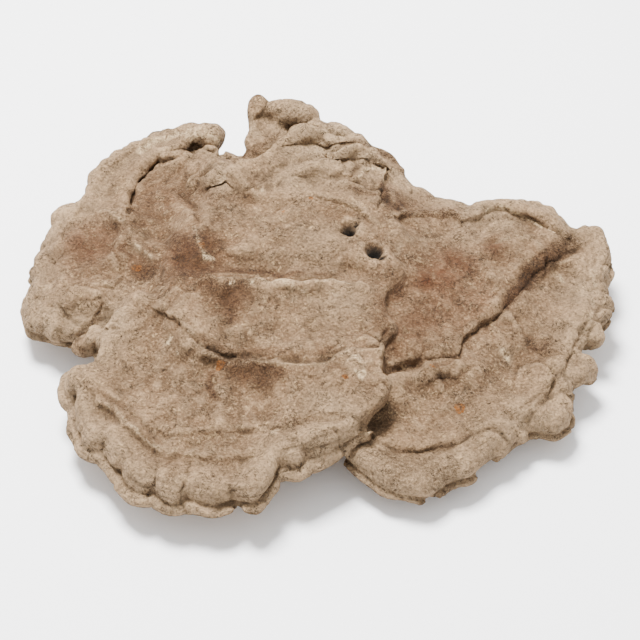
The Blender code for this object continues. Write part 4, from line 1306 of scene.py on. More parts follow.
BROWN = (
    Patch((192, 258), 22.0, 1.0), Patch((205, 245), 16.0, 1.0), Patch((178, 240), 12.0, 0.7),
    Patch((144, 270), 11.0, 0.9), Patch((183, 276), 12.0, 0.6), Patch((150, 250), 9.0, 0.6),
    Patch((232, 295), 16.0, 0.9), Patch((225, 310), 12.0, 0.5), Patch((244, 370), 14.0, 0.9),
    Patch((262, 376), 13.0, 0.8), Patch((275, 300), 7.0, 0.5), Patch((155, 225), 16.0, 0.3),
    Patch((170, 190), 22.0, 0.35), Patch((340, 392), 16.0, 0.3), Patch((440, 375), 12.0, 0.5),
    Patch((543, 350), 14.0, 0.5), Patch((500, 415), 14.0, 0.4), Patch((378, 455), 14.0, 0.5),
    Patch((385, 395), 10.0, 0.3), Patch((400, 355), 14.0, 0.3), Patch((335, 215), 16.0, 0.35),
    Patch((395, 205), 12.0, 0.5), Patch((400, 470), 26.0, 0.5), Patch((440, 478), 26.0, 0.5),
    Patch((484, 460), 18.0, 0.4),
)
ORANGE = (
    Patch((136, 266), 3.2, 1.0), Patch((201, 243), 3.0, 0.9), Patch((220, 364), 3.6, 1.0),
    Patch((218, 368), 2.4, 0.8), Patch((345, 377), 2.4, 1.0), Patch((461, 407), 4.2, 0.9),
    Patch((312, 198), 2.6, 0.7), Patch((284, 214), 2.6, 0.6), Patch((435, 372), 3.0, 0.6),
)
PALE = (
    Patch((232, 285), 3.0, 1.0), Patch((252, 285), 2.6, 0.9), Patch((290, 286), 8.0, 0.7),
    Patch((171, 335), 3.4, 1.0), Patch((168, 342), 3.0, 0.8), Patch((177, 352), 2.6, 0.8),
    Patch((163, 350), 2.6, 0.8), Patch((310, 183), 3.2, 0.9), Patch((196, 233), 3.4, 0.9),
    Patch((204, 256), 3.4, 0.9), Patch((357, 358), 6.0, 0.8), Patch((364, 372), 4.0, 0.8),
    Patch((275, 432), 4.0, 0.9), Patch((100, 212), 6.0, 0.6), Patch((262, 190), 5.0, 0.6),
    Patch((508, 356), 6.0, 0.7), Patch((223, 184), 8.0, 0.6), Patch((455, 212), 6.0, 0.4),
    Patch((560, 275), 6.0, 0.5), Patch((590, 292), 8.0, 0.5), Patch((190, 135), 12.0, 0.7),
    Patch((165, 150), 14.0, 0.6), Patch((213, 135), 8.0, 0.6), Patch((45, 285), 8.0, 0.6),
    Patch((200, 344), 2.0, 0.9), Patch((463, 411), 3.0, 0.8), Patch((262, 362), 3.0, 0.5),
    Patch((485, 236), 5.0, 0.4), Patch((525, 230), 6.0, 0.5), Patch((380, 170), 8.0, 0.5),
    Patch((120, 445), 12.0, 0.5), Patch((88, 412), 12.0, 0.5), Patch((170, 450), 9.0, 0.5),
)
# Broad parts painted lighter than the rest: painted light where slopes face away from the key light,
# above all on the mound
PAINTED_LIGHT = (
    Patch((330, 138), 44.0, 1.2), Patch((296, 116), 26.0, 1.0), Patch((370, 162), 22.0, 1.0),
    Patch((300, 172), 26.0, 0.7), Patch((505, 218), 22.0, 0.7), Patch((470, 224), 20.0, 0.7),
    Patch((592, 292), 26.0, 0.8), Patch((227, 176), 17.0, 1.0), Patch((345, 300), 22.0, 0.5),
    Patch((190, 135), 18.0, 0.5), Patch((320, 240), 26.0, 0.4),
)

# Long marks: line of photo pixels, width in millimetres, strength
Streak = namedtuple("Streak", "pixels width strength")
# Pale streaks: partly pale rims and marks, partly painted highlight along crests, terraces and lips
PALE_STREAKS = (
    Streak((
        (216, 279), (245, 279), (257, 281), (271, 285), (290, 284), (312, 283), (334, 283),
        (352, 286),
    ), 3.0, 0.62),
    Streak(((270, 288), (290, 292), (320, 294), (345, 296)), 8.0, 0.5),
    Streak(((200, 177), (213, 172), (229, 169), (243, 172)), 3.0, 0.5),
    Streak(((256, 158), (272, 147), (287, 135), (300, 129), (314, 127)), 3.5, 0.4),
    Streak(((333, 154), (345, 149), (358, 147), (371, 152), (381, 160)), 3.5, 0.55),
    Streak(((359, 178), (364, 171), (374, 168), (384, 171), (386, 180)), 3.0, 0.7),
    Streak(((330, 184), (345, 182), (352, 190)), 4.0, 0.5),
    Streak(((488, 211), (500, 208), (512, 210), (524, 216)), 2.5, 0.8),
    Streak(((524, 216), (536, 220), (547, 228), (556, 234)), 2.5, 0.8),
    Streak(((497, 241), (508, 236), (520, 236), (532, 240), (541, 247)), 3.0, 0.6),
    Streak(((396, 250), (410, 238), (424, 240)), 5.0, 0.5),
    Streak(((560, 262), (575, 258), (588, 266)), 5.0, 0.5),
    Streak(((594, 272), (598, 290), (594, 312), (588, 332)), 5.0, 0.6),
    Streak(((555, 272), (566, 280)), 4.0, 0.7),
    Streak(((398, 376), (412, 369), (432, 362), (446, 361)), 3.0, 0.4),
    Streak(((504, 352), (510, 360)), 4.0, 0.8),
    Streak(((528, 408), (545, 402), (556, 406)), 4.0, 0.5),
    Streak(((476, 436), (490, 432), (503, 438)), 3.0, 0.5),
    Streak(((90, 214), (100, 210), (112, 212), (124, 222)), 4.0, 0.6),
    Streak(((133, 243), (140, 250), (152, 257)), 3.5, 0.6),
    Streak(((140, 150), (158, 138), (178, 134), (200, 132), (214, 138)), 7.0, 0.75),
    Streak(((36, 262), (34, 290), (40, 312), (54, 330)), 7.0, 0.5),
    Streak(((98, 401), (112, 409), (128, 424), (142, 438), (160, 450)), 4.0, 0.6),
    Streak(((84, 404), (88, 424), (104, 442), (124, 462)), 7.0, 0.5),
    Streak(((262, 434), (280, 437), (300, 436), (322, 430), (340, 424)), 4.0, 0.5),
    Streak(((186, 452), (210, 452), (236, 452), (262, 446)), 4.0, 0.5),
    Streak(((352, 440), (360, 434)), 3.0, 0.8),
    Streak(((170, 446), (150, 428), (136, 414)), 3.0, 0.3),
    Streak(((233, 468), (250, 466), (264, 470)), 5.0, 0.4),
    Streak(((346, 362), (356, 356), (364, 366)), 3.0, 0.7),
    Streak(((356, 372), (362, 380), (366, 374)), 3.0, 0.8),
    Streak(((196, 228), (198, 238), (204, 254), (212, 258)), 2.6, 0.8),
    Streak((
        (228, 362), (248, 361), (274, 362), (295, 364), (322, 363), (335, 357), (347, 351),
        (362, 352), (378, 349),
    ), 2.2, 0.6),
    Streak(((170, 334), (168, 342), (163, 350)), 2.6, 0.9),
)
# Brown streaks: partly brown torn faces and troughs, mostly painted shade behind crests, terraces and
# steps
BROWN_STREAKS = (
    Streak((
        (573, 243), (562, 250), (551, 257), (540, 266), (530, 278), (520, 290), (508, 304),
    ), 9.0, 1.0),
    Streak(((555, 247), (545, 262)), 6.0, 0.8),
    Streak(((135, 192), (134, 206), (140, 224)), 8.0, 0.5),
    Streak(((150, 175), (145, 190), (150, 215), (160, 235)), 12.0, 0.45),
    Streak(((184, 190), (192, 204), (200, 222)), 5.0, 0.45),
    Streak(((224, 365), (240, 368), (262, 366), (280, 374)), 6.0, 0.8),
    Streak(((212, 372), (208, 386), (214, 396)), 3.5, 0.7),
    Streak(((240, 288), (226, 292), (222, 302)), 5.0, 0.8),
    Streak(((384, 186), (386, 198), (396, 208), (404, 204)), 5.0, 0.9),
    Streak(((365, 143), (376, 147), (388, 153), (398, 160)), 3.0, 0.9),
    Streak(((402, 214), (420, 214), (440, 216), (452, 212), (462, 221)), 3.0, 0.7),
    Streak(((228, 160), (240, 156), (246, 150)), 7.0, 0.6),
    Streak(((250, 132), (262, 140), (276, 134)), 6.0, 0.4),
    Streak(((330, 222), (345, 214), (358, 216)), 4.0, 0.5),
    Streak(((384, 300), (382, 320), (390, 345), (400, 356)), 6.0, 0.5),
    Streak(((400, 450), (425, 450), (450, 444), (478, 434)), 3.0, 0.5),
    Streak(((168, 466), (174, 472), (170, 480)), 6.0, 0.5),
    Streak(((530, 342), (542, 352), (550, 344)), 7.0, 0.6),
    Streak(((66, 346), (76, 338), (84, 330), (98, 312)), 3.0, 0.6),
    Streak(((254, 94), (262, 94), (271, 97)), 2.5, 0.9),
    Streak(((125, 244), (120, 250), (130, 256)), 3.0, 0.6),
    Streak(((212, 270), (228, 269), (246, 270), (262, 273), (280, 276), (298, 275)), 4.5, 0.8),
    Streak(((302, 276), (322, 275), (344, 277)), 3.5, 0.45),
    Streak((
        (240, 160), (254, 151), (270, 139), (284, 127), (298, 121), (314, 119), (330, 124),
    ), 3.6, 0.55),
    Streak(((332, 147), (346, 142), (360, 140), (374, 144), (386, 152)), 3.0, 0.55),
    Streak(((352, 172), (359, 163), (372, 158), (386, 162)), 2.6, 0.6),
    Streak(((298, 162), (312, 157), (328, 155), (342, 158)), 2.6, 0.45),
    Streak(((348, 186), (362, 193), (376, 196)), 3.0, 0.6),
    Streak(((200, 190), (214, 196), (232, 199), (250, 196)), 4.0, 0.35),
    Streak(((488, 240), (500, 234), (516, 230), (532, 232)), 3.0, 0.5),
    Streak(((486, 219), (498, 217), (512, 219), (524, 224)), 3.0, 0.5),
    Streak(((88, 384), (100, 392), (118, 408), (136, 428), (152, 444)), 3.0, 0.4),
    Streak((
        (200, 338), (214, 346), (230, 352), (250, 350), (274, 351), (296, 353), (320, 352),
        (332, 346),
    ), 3.5, 0.5),
    Streak(((172, 236), (182, 256), (196, 276), (214, 290)), 9.0, 0.7),
    Streak(((222, 290), (226, 304), (232, 318)), 7.0, 0.7),
)


def streaked(points, place, streaks):
    """How strongly each point lies in a set of streaks, between 0 and 1."""
    amount = np.zeros(len(points))
    for streak in streaks:
        line, _ = on_skin(place, streak.pixels)
        near, distance, _ = near_line(points, line, 2.5 * streak.width)
        share = streak.strength * np.exp(-((distance / streak.width) ** 2))
        amount[near] = np.maximum(amount[near], share)
    return amount


def patched(points, place, patches):
    """How strongly each point lies in a set of patches, between 0 and 1."""
    amount = np.zeros(len(points))
    for patch in patches:
        middle = place(patch.pixel)
        if middle is None:
            print("no skin under the patch at", patch.pixel)
            continue
        away = np.linalg.norm(points - middle, axis=1)
        amount = np.maximum(amount, patch.strength * np.exp(-((away / patch.radius) ** 2)))
    return amount


RIM_PALE = 0.85
RIM_PALE_REACH = 27.0
# Growth lines run along the rims: how far apart they are, how far in they reach, and how they follow
# the height
RING_SPACING = 3.6
RING_BAND = (12.0, 42.0)
RING_DROP = 0.8
# The shelves are fused inside this oval, so it has no rims
RIMLESS_CENTRE = (-30.0, 40.0)
RIMLESS_RADII = (115.0, 120.0)
# Rims set in at this share of the oval, over this run. They end this far outside the outlines, over
# the width of an edge
RIM_STARTS = 0.95
RIM_RUN = 0.2
RIM_OUTSIDE = 9.0
RIM_EDGE = 6.0
# How far the pore surface faces down and the torn back faces back at least, and over what run they set
# in. The torn back lies behind this place along Y
PORE_FACING = 0.15
TORN_FACING = 0.3
FACING_RUN = 0.4
TORN_FROM = 120.0
TORN_RUN = 30.0
# The boss is torn too, from a bit above the under side and up to a bit below the rims
BOSS_OVER = 4.0
BOSS_RUN = 6.0
BELOW_RIM_RUN = 8.0


def rim_distance(points):
    """How far each point lies inside the rim of its shelf, in plan, and 1 where there is a rim."""
    x, y, _ = points.T
    shelves = (LEFT_SHELF, FRONT_SHELF, RIGHT_SHELF)
    inward = np.max([-outline_distance(x, y, shelf.outline) for shelf in shelves], axis=0)
    across = (x - RIMLESS_CENTRE[0]) / RIMLESS_RADII[0]
    along = (y - RIMLESS_CENTRE[1]) / RIMLESS_RADII[1]
    free = smooth_step((np.hypot(across, along) - RIM_STARTS) / RIM_RUN)
    return np.maximum(inward, 0.0), smooth_step((inward + RIM_OUTSIDE) / RIM_EDGE) * free


def under_side(points, normals):
    """The smooth pore surface below, from 0 to 1, and the torn back and the boss, from 0 to 1."""
    x, y, z = points.T
    pore = smooth_step((-normals[:, 2] - PORE_FACING) / FACING_RUN)
    rim = np.minimum(rim_height(FRONT_SHELF, x, y), rim_height(RIGHT_SHELF, x, y))
    torn = smooth_step((normals[:, 1] - TORN_FACING) / FACING_RUN)
    torn = torn * smooth_step((y - TORN_FROM) / TORN_RUN)
    boss = smooth_step((UNDER_HEIGHT + BOSS_OVER - z) / BOSS_RUN)
    boss = boss * smooth_step((rim - z) / BELOW_RIM_RUN)
    return pore, np.maximum(torn, boss)


class Paint:
    """One procedural material, with short ways to add its nodes."""

    def __init__(self, name, roughness):
        self.material = bpy.data.materials.new(name)
        self.material.use_nodes = True
        self.nodes = self.material.node_tree.nodes
        self.links = self.material.node_tree.links
        self.shader = self.nodes["Principled BSDF"]
        self.shader.inputs["Roughness"].default_value = roughness
        self.shader.inputs["Specular IOR Level"].default_value = 0.25
        self.place = self.nodes.new("ShaderNodeTexCoord").outputs["Object"]

    def put(self, socket, value):
        if isinstance(value, bpy.types.NodeSocket):
            self.links.new(value, socket)
        else:
            socket.default_value = value

    def noise(self, size, detail=3.0, roughness=0.6, distortion=0.0):
        """Noise between 0 and 1 with features about size millimetres wide."""
        node = self.nodes.new("ShaderNodeTexNoise")
        self.links.new(self.place, node.inputs["Vector"])
        node.inputs["Scale"].default_value = 1.0 / (size * MM)
        node.inputs["Detail"].default_value = detail
        node.inputs["Roughness"].default_value = roughness
        node.inputs["Distortion"].default_value = distortion
        return node.outputs["Fac"]

    def bands(self, value):
        """Uneven bands along a value, between 0 and 1."""
        node = self.nodes.new("ShaderNodeTexNoise")
        node.noise_dimensions = "1D"
        self.links.new(value, node.inputs["W"])
        node.inputs["Scale"].default_value = 1.0
        node.inputs["Detail"].default_value = 2.0
        return node.outputs["Fac"]

    def cells(self, size):
        """Distance to the nearest of many scattered points that lie about size millimetres apart."""
        node = self.nodes.new("ShaderNodeTexVoronoi")
        self.links.new(self.place, node.inputs["Vector"])
        node.inputs["Scale"].default_value = 1.0 / (size * MM)
        return node.outputs["Distance"]

    def mask(self, name):
        node = self.nodes.new("ShaderNodeAttribute")
        node.attribute_name = name
        return node.outputs["Fac"]

    def math(self, operation, a, b=0.0):
        node = self.nodes.new("ShaderNodeMath")
        node.operation = operation
        self.put(node.inputs[0], a)
        self.put(node.inputs[1], b)
        return node.outputs[0]

    def times(self, a, b):
        return self.math("MULTIPLY", a, b)

    def either(self, a, b):
        return self.math("MAXIMUM", a, b)

    def ramp(self, value, low, high, least=0.0, most=1.0):
        """Value mapped from low and high to least and most, and kept between them."""
        node = self.nodes.new("ShaderNodeMapRange")
        self.put(node.inputs["Value"], value)
        numbers = {"From Min": low, "From Max": high, "To Min": least, "To Max": most}
        for name, number in numbers.items():
            node.inputs[name].default_value = number
        return node.outputs["Result"]

    def lines(self, value, width):
        """Thin lines where a noise passes its middle value."""
        away = self.math("ABSOLUTE", self.math("SUBTRACT", value, 0.5))
        return self.ramp(away, width, 0.3 * width)

    def mix(self, share, a, b):
        node = self.nodes.new("ShaderNodeMix")
        node.data_type = "RGBA"
        self.put(node.inputs["Factor"], share)
        colours = [socket for socket in node.inputs if socket.type == "RGBA"]
        self.put(colours[0], a)
        self.put(colours[1], b)
        return next(socket for socket in node.outputs if socket.type == "RGBA")

    def bump(self, height, distance, below=None):
        """Relief of the height, which is in units of distance millimetres."""
        node = self.nodes.new("ShaderNodeBump")
        node.inputs["Distance"].default_value = distance * MM
        node.inputs["Strength"].default_value = 1.0
        self.put(node.inputs["Height"], height)
        if below is not None:
            self.links.new(below, node.inputs["Normal"])
        return node.outputs["Normal"]

    def finish(self, colour, normal=None):
        self.put(self.shader.inputs["Base Color"], colour)
        if normal is not None:
            self.links.new(normal, self.shader.inputs["Normal"])
        return self.material


# How bright a white surface that faces the light is, and which brightness each screen value stands for
LIGHT_LEVEL = 3.42
SCREEN_VALUES = (0, 32, 58, 87, 118, 145, 170, 189, 197, 209, 217, 227)
BRIGHTNESS = (0.0, 0.02, 0.05, 0.1, 0.18, 0.3, 0.5, 0.8, 1.0, 1.5, 2.0, 3.0)
SCREEN_TINT = np.array((1.0, 0.99, 0.82))


def rgb(*seen):
    """The surface colour that is seen in this light as these red, green and blue screen values."""
    return tuple(np.interp(seen, SCREEN_VALUES, BRIGHTNESS) * SCREEN_TINT / LIGHT_LEVEL) + (1.0,)


# Colours of the skin, as the red, green and blue screen values that they are seen as
TAN = (169, 142, 116)
LIGHT_TAN = (182, 160, 137)
BROWN_TAN = (154, 122, 93)
SAND = (196, 179, 160)
UMBER = (140, 106, 77)
# Painted shade in basins and painted highlight on crests
BASIN_SHADE_BROWN = (132, 98, 68)
CREST_HIGHLIGHT_SAND = (202, 186, 166)
RUST_BROWN = (138, 74, 36)
WORN_BROWN = (144, 96, 56)
CREAM = (204, 193, 178)
FLAKE_CREAM = (214, 202, 186)
OFF_WHITE = (224, 217, 206)
DUST_CREAM = (208, 194, 176)
RING_CREAM = (207, 196, 180)
RING_BROWN = (134, 106, 80)
OCHRE = (184, 134, 62)
CRUMB_BROWN = (84, 44, 16)
FLECK_BROWN = (112, 80, 54)
SPECK_BROWN = (112, 82, 56)
SHADE_BROWN = (126, 92, 62)
WRINKLE_BROWN = (78, 56, 38)
# Painted shade in creases, hollows and holes
CREASE_SHADE_BROWN = (70, 48, 30)
HOLE_SHADE_BLACK = (36, 25, 15)
PORE_CREAM = (192, 174, 150)
PORE_TAN = (166, 140, 112)
PORE_BROWN = (120, 96, 72)
TORN_BROWN = (124, 92, 66)
TORN_TAN = (160, 128, 100)


def coated(paint, colour, coats):
    """The colour under coats, each the share that it covers and its colour."""
    for share, seen in coats:
        colour = paint.mix(share, colour, rgb(*seen))
    return colour


# Patterns that the colour and the relief of the skin share. Clean is 1 where neither a stain nor a
# streak of painted shade lies
Marks = namedtuple("Marks", "broad patchy blotchy mottle grain wrinkles flakes ring rust worn clean")


def wrinkle_lines(paint, patchy):
    """Long and short thin lines, which come in patches."""
    long_lines = paint.lines(paint.noise(10.0, 3.0, 0.6, 1.2), 0.012)
    long_lines = paint.times(long_lines, paint.ramp(paint.noise(14.0, 3.0, 0.6), 0.52, 0.56))
    short_lines = paint.lines(paint.noise(5.0, 3.0, 0.6, 1.0), 0.022)
    short_lines = paint.times(short_lines, paint.ramp(patchy, 0.53, 0.58))
    return paint.either(long_lines, short_lines)


def growth_rings(paint, patchy):
    """Fine uneven rings along the rims, above and below 0."""
    ring = paint.math("ADD", paint.mask("ring"), paint.times(paint.noise(22.0, 2.0, 0.5), 2.0))
    ring = paint.math("SUBTRACT", paint.bands(ring), 0.5)
    return paint.times(ring, paint.times(paint.mask("rim"), paint.ramp(patchy, 0.36, 0.60)))


def skin_marks(paint):
    patchy = paint.noise(15.0, 5.0, 0.62, 0.6)
    flakes = paint.ramp(paint.noise(5.0, 5.0, 0.7, 0.8), 0.56, 0.60)
    rust = paint.times(paint.mask("rust"), paint.ramp(patchy, 0.3, 0.62, 0.5, 1.0))
    # The brown mask holds brown wear and the streaks of painted shade
    worn = paint.mask("brown")
    return Marks(
        broad=paint.noise(42.0, 3.0, 0.55, 0.4),
        patchy=patchy,
        blotchy=paint.noise(7.0, 4.0, 0.6, 0.6),
        mottle=paint.noise(4.2, 5.0, 0.66, 0.4),
        grain=paint.noise(1.9, 3.0, 0.72),
        wrinkles=wrinkle_lines(paint, patchy),
        flakes=paint.times(flakes, paint.ramp(paint.noise(18.0, 3.0, 0.6, 0.5), 0.48, 0.60)),
        ring=growth_rings(paint, patchy),
        rust=rust,
        worn=worn,
        clean=paint.ramp(paint.either(worn, rust), 0.1, 0.8, 1.0, 0.2),
    )


def ground_colour(paint, marks):
    """Tan with broad and narrow blotches, painted shade in basins and painted highlight on crests,
    stained rust, and brown wear with streaks of painted shade.
    """
    basin = paint.mask("basin")
    colour = paint.mix(paint.ramp(marks.broad, 0.36, 0.64), rgb(*TAN), rgb(*LIGHT_TAN))
    return coated(paint, colour, (
        (paint.ramp(marks.patchy, 0.54, 0.38, 0.0, 0.3), BROWN_TAN),
        (paint.ramp(marks.blotchy, 0.52, 0.62, 0.0, 0.4), SAND),
        (paint.ramp(marks.mottle, 0.50, 0.36, 0.0, 0.22), UMBER),
        # Painted shade in basins, painted highlight on crests
        (paint.ramp(basin, 0.2, 2.4, 0.0, 0.26), BASIN_SHADE_BROWN),
        (paint.ramp(basin, -0.3, -2.4, 0.0, 0.5), CREST_HIGHLIGHT_SAND),
        (marks.rust, RUST_BROWN),
        # Brown wear, with streaks of painted shade behind crests and steps
        (paint.times(marks.worn, 0.9), WORN_BROWN),
    ))


def pale_coats(paint, marks):
    """Pale rims and marks with painted highlight along crests, painted light on broad parts, flakes,
    chalk, painted highlight on what stands out, white marks, dust and growth rings.
    """
    chalk_and_highlight = paint.ramp(paint.noise(3.4, 5.0, 0.72, 0.8), 0.54, 0.60)
    chalk_and_highlight = paint.times(chalk_and_highlight, paint.ramp(marks.patchy, 0.50, 0.62))
    # What stands out gets a painted highlight, joined to the chalk
    stands_out = paint.ramp(paint.mask("hollow"), 0.1, -0.9)
    chalk_and_highlight = paint.either(paint.times(chalk_and_highlight, 0.6), paint.times(stands_out, 0.5))
    broken = paint.ramp(marks.blotchy, 0.42, 0.56, 0.25, 1.0)
    # The lighter mask holds the pale rims and the painted light on broad parts
    pale = paint.either(paint.times(paint.mask("pale"), broken), paint.mask("lighter"))
    pale = paint.times(pale, paint.ramp(marks.mottle, 0.36, 0.50, 0.6, 1.0))
    pale = paint.either(pale, paint.times(chalk_and_highlight, marks.clean))
    # The pale mask also holds the streaks of painted highlight along crests, so some white marks are
    # painted highlight
    white = paint.times(paint.ramp(paint.mask("pale"), 0.45, 0.8), paint.ramp(marks.mottle, 0.42, 0.50))
    dust = paint.times(paint.ramp(marks.grain, 0.54, 0.66, 0.0, 0.6), marks.clean)
    return (
        (paint.times(pale, 0.9), CREAM),
        (paint.times(paint.times(marks.flakes, marks.clean), 0.7), FLAKE_CREAM),
        (paint.times(paint.times(white, broken), 0.8), OFF_WHITE),
        (dust, DUST_CREAM),
        (paint.ramp(marks.ring, 0.02, 0.16, 0.0, 0.22), RING_CREAM),
        (paint.ramp(marks.ring, -0.02, -0.16, 0.0, 0.28), RING_BROWN),
    )


def dark_coats(paint, marks):
    """Orange chips, dark crumbs, flecks, specks and wrinkles, and painted shade in hollows, creases and
    holes.
    """
    orange = paint.mask("orange")
    chips = paint.ramp(paint.math("ADD", orange, paint.times(marks.mottle, 0.8)), 0.72, 0.86)
    chips = paint.times(chips, paint.ramp(orange, 0.12, 0.3))
    crumbs = paint.lines(paint.noise(4.0, 3.0, 0.6, 1.6), 0.07)
    crumbs = paint.times(crumbs, paint.ramp(marks.worn, 0.2, 0.6))
    flecks = paint.ramp(paint.noise(2.2, 3.0, 0.7, 0.8), 0.66, 0.69)
    # Painted shade where the skin lies low
    lies_low = paint.ramp(paint.mask("hollow"), 0.0, 1.0)
    return (
        (paint.times(chips, paint.ramp(marks.grain, 0.42, 0.52, 0.3, 1.0)), OCHRE),
        (paint.times(crumbs, 0.85), CRUMB_BROWN),
        (paint.times(flecks, 0.5), FLECK_BROWN),
        (paint.ramp(marks.grain, 0.50, 0.36, 0.0, 0.5), SPECK_BROWN),
        # Painted shade in narrow hollows
        (paint.times(lies_low, 0.4), SHADE_BROWN),
        (paint.times(marks.wrinkles, 0.9), WRINKLE_BROWN),
        # Painted shade in creases and deep hollows, then in holes
        (paint.times(paint.mask("crease_and_hollow_shade"), 0.85), CREASE_SHADE_BROWN),
        (paint.mask("hole"), HOLE_SHADE_BLACK),
    )


def pore_colour(paint, marks):
    """The under side: pale, with pores."""
    colour = paint.mix(paint.ramp(marks.broad, 0.35, 0.65), rgb(*PORE_CREAM), rgb(*PORE_TAN))
    return paint.mix(paint.ramp(paint.cells(0.8), 0.15, 0.4, 0.5, 0.0), colour, rgb(*PORE_BROWN))


def torn_colour(paint, marks):
    return paint.mix(paint.ramp(marks.mottle, 0.35, 0.65), rgb(*TORN_BROWN), rgb(*TORN_TAN))


def skin_relief(paint, marks):
    """Bumps on the upper skin, from the broad ones to the fine ones: height and millimetres."""
    upper = paint.math("SUBTRACT", 1.0, paint.mask("pore"))
    rough = paint.either(paint.ramp(paint.noise(24.0, 3.0, 0.6), 0.42, 0.58, 0.5, 1.0), marks.worn)
    rough = paint.times(rough, upper)
    relief = None
    for height, distance in (
        (paint.times(marks.blotchy, upper), 2.2),
        (paint.times(marks.mottle, upper), 1.4),
        (paint.times(paint.noise(2.4, 4.0, 0.7, 0.8), rough), 3.4),
        (paint.times(marks.grain, rough), 2.4),
        (paint.times(paint.math("SUBTRACT", marks.flakes, marks.wrinkles), upper), 0.6),
        (paint.times(marks.ring, upper), 0.9),
    ):
        relief = paint.bump(height, distance, relief)
    return relief


def fungus_paint():
    paint = Paint("fungus_skin", roughness=0.95)
    marks = skin_marks(paint)
    colour = ground_colour(paint, marks)
    colour = coated(paint, colour, pale_coats(paint, marks))
    colour = coated(paint, colour, dark_coats(paint, marks))
    colour = paint.mix(paint.mask("pore"), colour, pore_colour(paint, marks))
    colour = paint.mix(paint.mask("torn"), colour, torn_colour(paint, marks))
    return paint.finish(colour, skin_relief(paint, marks))


def fitted(points):
    """Moves the body to the solid model's frame, stretched by a hair to the same box above the cut."""
    points = (points - np.array(BOSS_CENTRE + (0.0,))) * MM
    low, high = points.min(axis=0), points.max(axis=0)
    low[2] = 0.0
    cad_low, cad_high = np.array(CAD_BOX[0]), np.array(CAD_BOX[1])
    stretch = (cad_high - cad_low) / (high - low)
    print("stretch to the solid model's box:", stretch.round(4), "from", low.round(4), high.round(4))
    return cad_low + (points - low) * stretch


def cut_flat(mesh):
    """Cuts the boss off at z = 0 and closes the cut with a flat face."""
    body = bmesh.new()
    body.from_mesh(mesh)
    everything = body.verts[:] + body.edges[:] + body.faces[:]
    cut = bmesh.ops.bisect_plane(
        body, geom=everything, dist=0.002 * MM, plane_co=(0, 0, 0), plane_no=(0, 0, 1), clear_inner=True
    )
    edges = [item for item in cut["geom_cut"] if isinstance(item, bmesh.types.BMEdge)]
    made = bmesh.ops.contextual_create(body, geom=edges)
    for face in made["faces"]:
        face.smooth = False
    body.to_mesh(mesh)
    body.free()


def drawn_masks(points, place):
    """Where the drawn patches and streaks put stains, worn places and pale marks, and painted shade,
    highlight and light.
    """
    return {
        "rust": patched(points, place, RUST),
        "brown": np.maximum(patched(points, place, BROWN), streaked(points, place, BROWN_STREAKS)),
        "orange": patched(points, place, ORANGE),
        # Pale marks, and streaks of painted highlight along crests
        "pale": np.maximum(patched(points, place, PALE), streaked(points, place, PALE_STREAKS)),
        "lighter": patched(points, place, PAINTED_LIGHT),
    }


def add_shape_masks(masks, points, faces):
    """Adds the masks that follow the finished shape: rims, hollows, under side and torn back."""
    inward, at_rim = rim_distance(points)
    rim_pale = at_rim * RIM_PALE * np.exp(-((inward / RIM_PALE_REACH) ** 2))
    # The pale rims share one mask with the painted light on broad parts
    masks["lighter"] = np.maximum(rim_pale, masks["lighter"])
    band_start, band_end = RING_BAND
    masks["rim"] = at_rim * (1.0 - smooth_step((inward - band_start) / (band_end - band_start)))
    masks["ring"] = (inward + RING_DROP * points[:, 2]) / RING_SPACING
    # Narrow hollowness: painted shade where the skin lies low and painted highlight where it stands out
    masks["hollow"] = hollowness(points, faces, HOLLOW_ROUNDS)
    # Broad hollowness: painted shade in basins and painted highlight on crests
    masks["basin"] = hollowness(points, faces, BASIN_ROUNDS)
    masks["pore"], masks["torn"] = under_side(points, point_normals(points, faces))


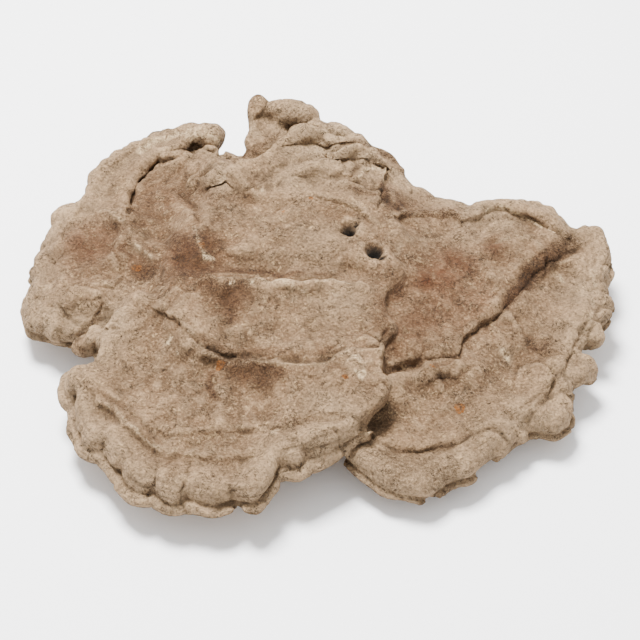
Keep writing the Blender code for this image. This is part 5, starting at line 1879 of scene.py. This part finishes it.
def make_fungus():
    points, faces = body_skin()
    place = skin_finder(points, faces)
    masks = drawn_masks(wandering(points), place)
    # The relief also gives the painted shade in creases and hollows, and in holes
    points, masks["crease_and_hollow_shade"], masks["hole"] = add_relief(points, faces, place)
    points = grained(points, faces)
    add_shape_masks(masks, points, faces)
    mesh = bpy.data.meshes.new("bracket_fungus")
    mesh.from_pydata(fitted(points).tolist(), [], faces)
    for name, values in masks.items():
        mesh.attributes.new(name, "FLOAT", "POINT").data.foreach_set("value", values)
    mesh.shade_smooth()
    cut_flat(mesh)
    fungus = bpy.data.objects.new("bracket_fungus", mesh)
    bpy.context.collection.objects.link(fungus)
    mesh.materials.append(fungus_paint())
    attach(fungus, "root")
    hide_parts("bracket")


# The studio, in metres
FLOOR_HALF = 4.0
FLOOR_WHITE = (0.955, 0.955, 0.96, 1.0)
WORLD_WHITE = (1.0, 1.0, 1.0, 1.0)
WORLD_STRENGTH = 1.35


def make_floor():
    mesh = bpy.data.meshes.new("floor")
    low, high = -FLOOR_HALF, FLOOR_HALF
    corners = [(low, low, 0), (high, low, 0), (high, high, 0), (low, high, 0)]
    mesh.from_pydata(corners, [], [(0, 1, 2, 3)])
    floor = bpy.data.objects.new("floor", mesh)
    bpy.context.collection.objects.link(floor)
    paint = Paint("floor_white", roughness=0.7)
    mesh.materials.append(paint.finish(FLOOR_WHITE))


def make_camera():
    eye, _, _, _ = camera_frame()
    shift = np.array(BOSS_CENTRE + (0.0,))
    data = bpy.data.cameras.new("photo_camera")
    data.sensor_width = SENSOR_WIDTH
    data.lens = SENSOR_WIDTH * VIEW_DISTANCE / VIEW_SPAN
    camera = bpy.data.objects.new("photo_camera", data)
    camera.location = Vector((eye - shift) * MM)
    camera.rotation_euler = (np.pi / 2 - VIEW_ELEVATION, 0.0, 0.0)
    bpy.context.collection.objects.link(camera)
    bpy.context.scene.camera = camera


def add_light(name, place, size, power):
    """A square soft light that faces the middle of the fungus."""
    data = bpy.data.lights.new(name, "AREA")
    data.size = size
    data.energy = power
    light = bpy.data.objects.new(name, data)
    light.location = place
    light.rotation_euler = (-Vector(place)).to_track_quat("-Z", "Y").to_euler()
    bpy.context.collection.objects.link(light)


def make_lights():
    world = bpy.data.worlds.new("studio")
    bpy.context.scene.world = world
    world.use_nodes = True
    background = world.node_tree.nodes["Background"]
    background.inputs["Color"].default_value = WORLD_WHITE
    background.inputs["Strength"].default_value = WORLD_STRENGTH
    add_light("key", place=(-0.35, 0.5, 2.0), size=0.7, power=190.0)


make_fungus()
make_floor()
make_camera()
make_lights()
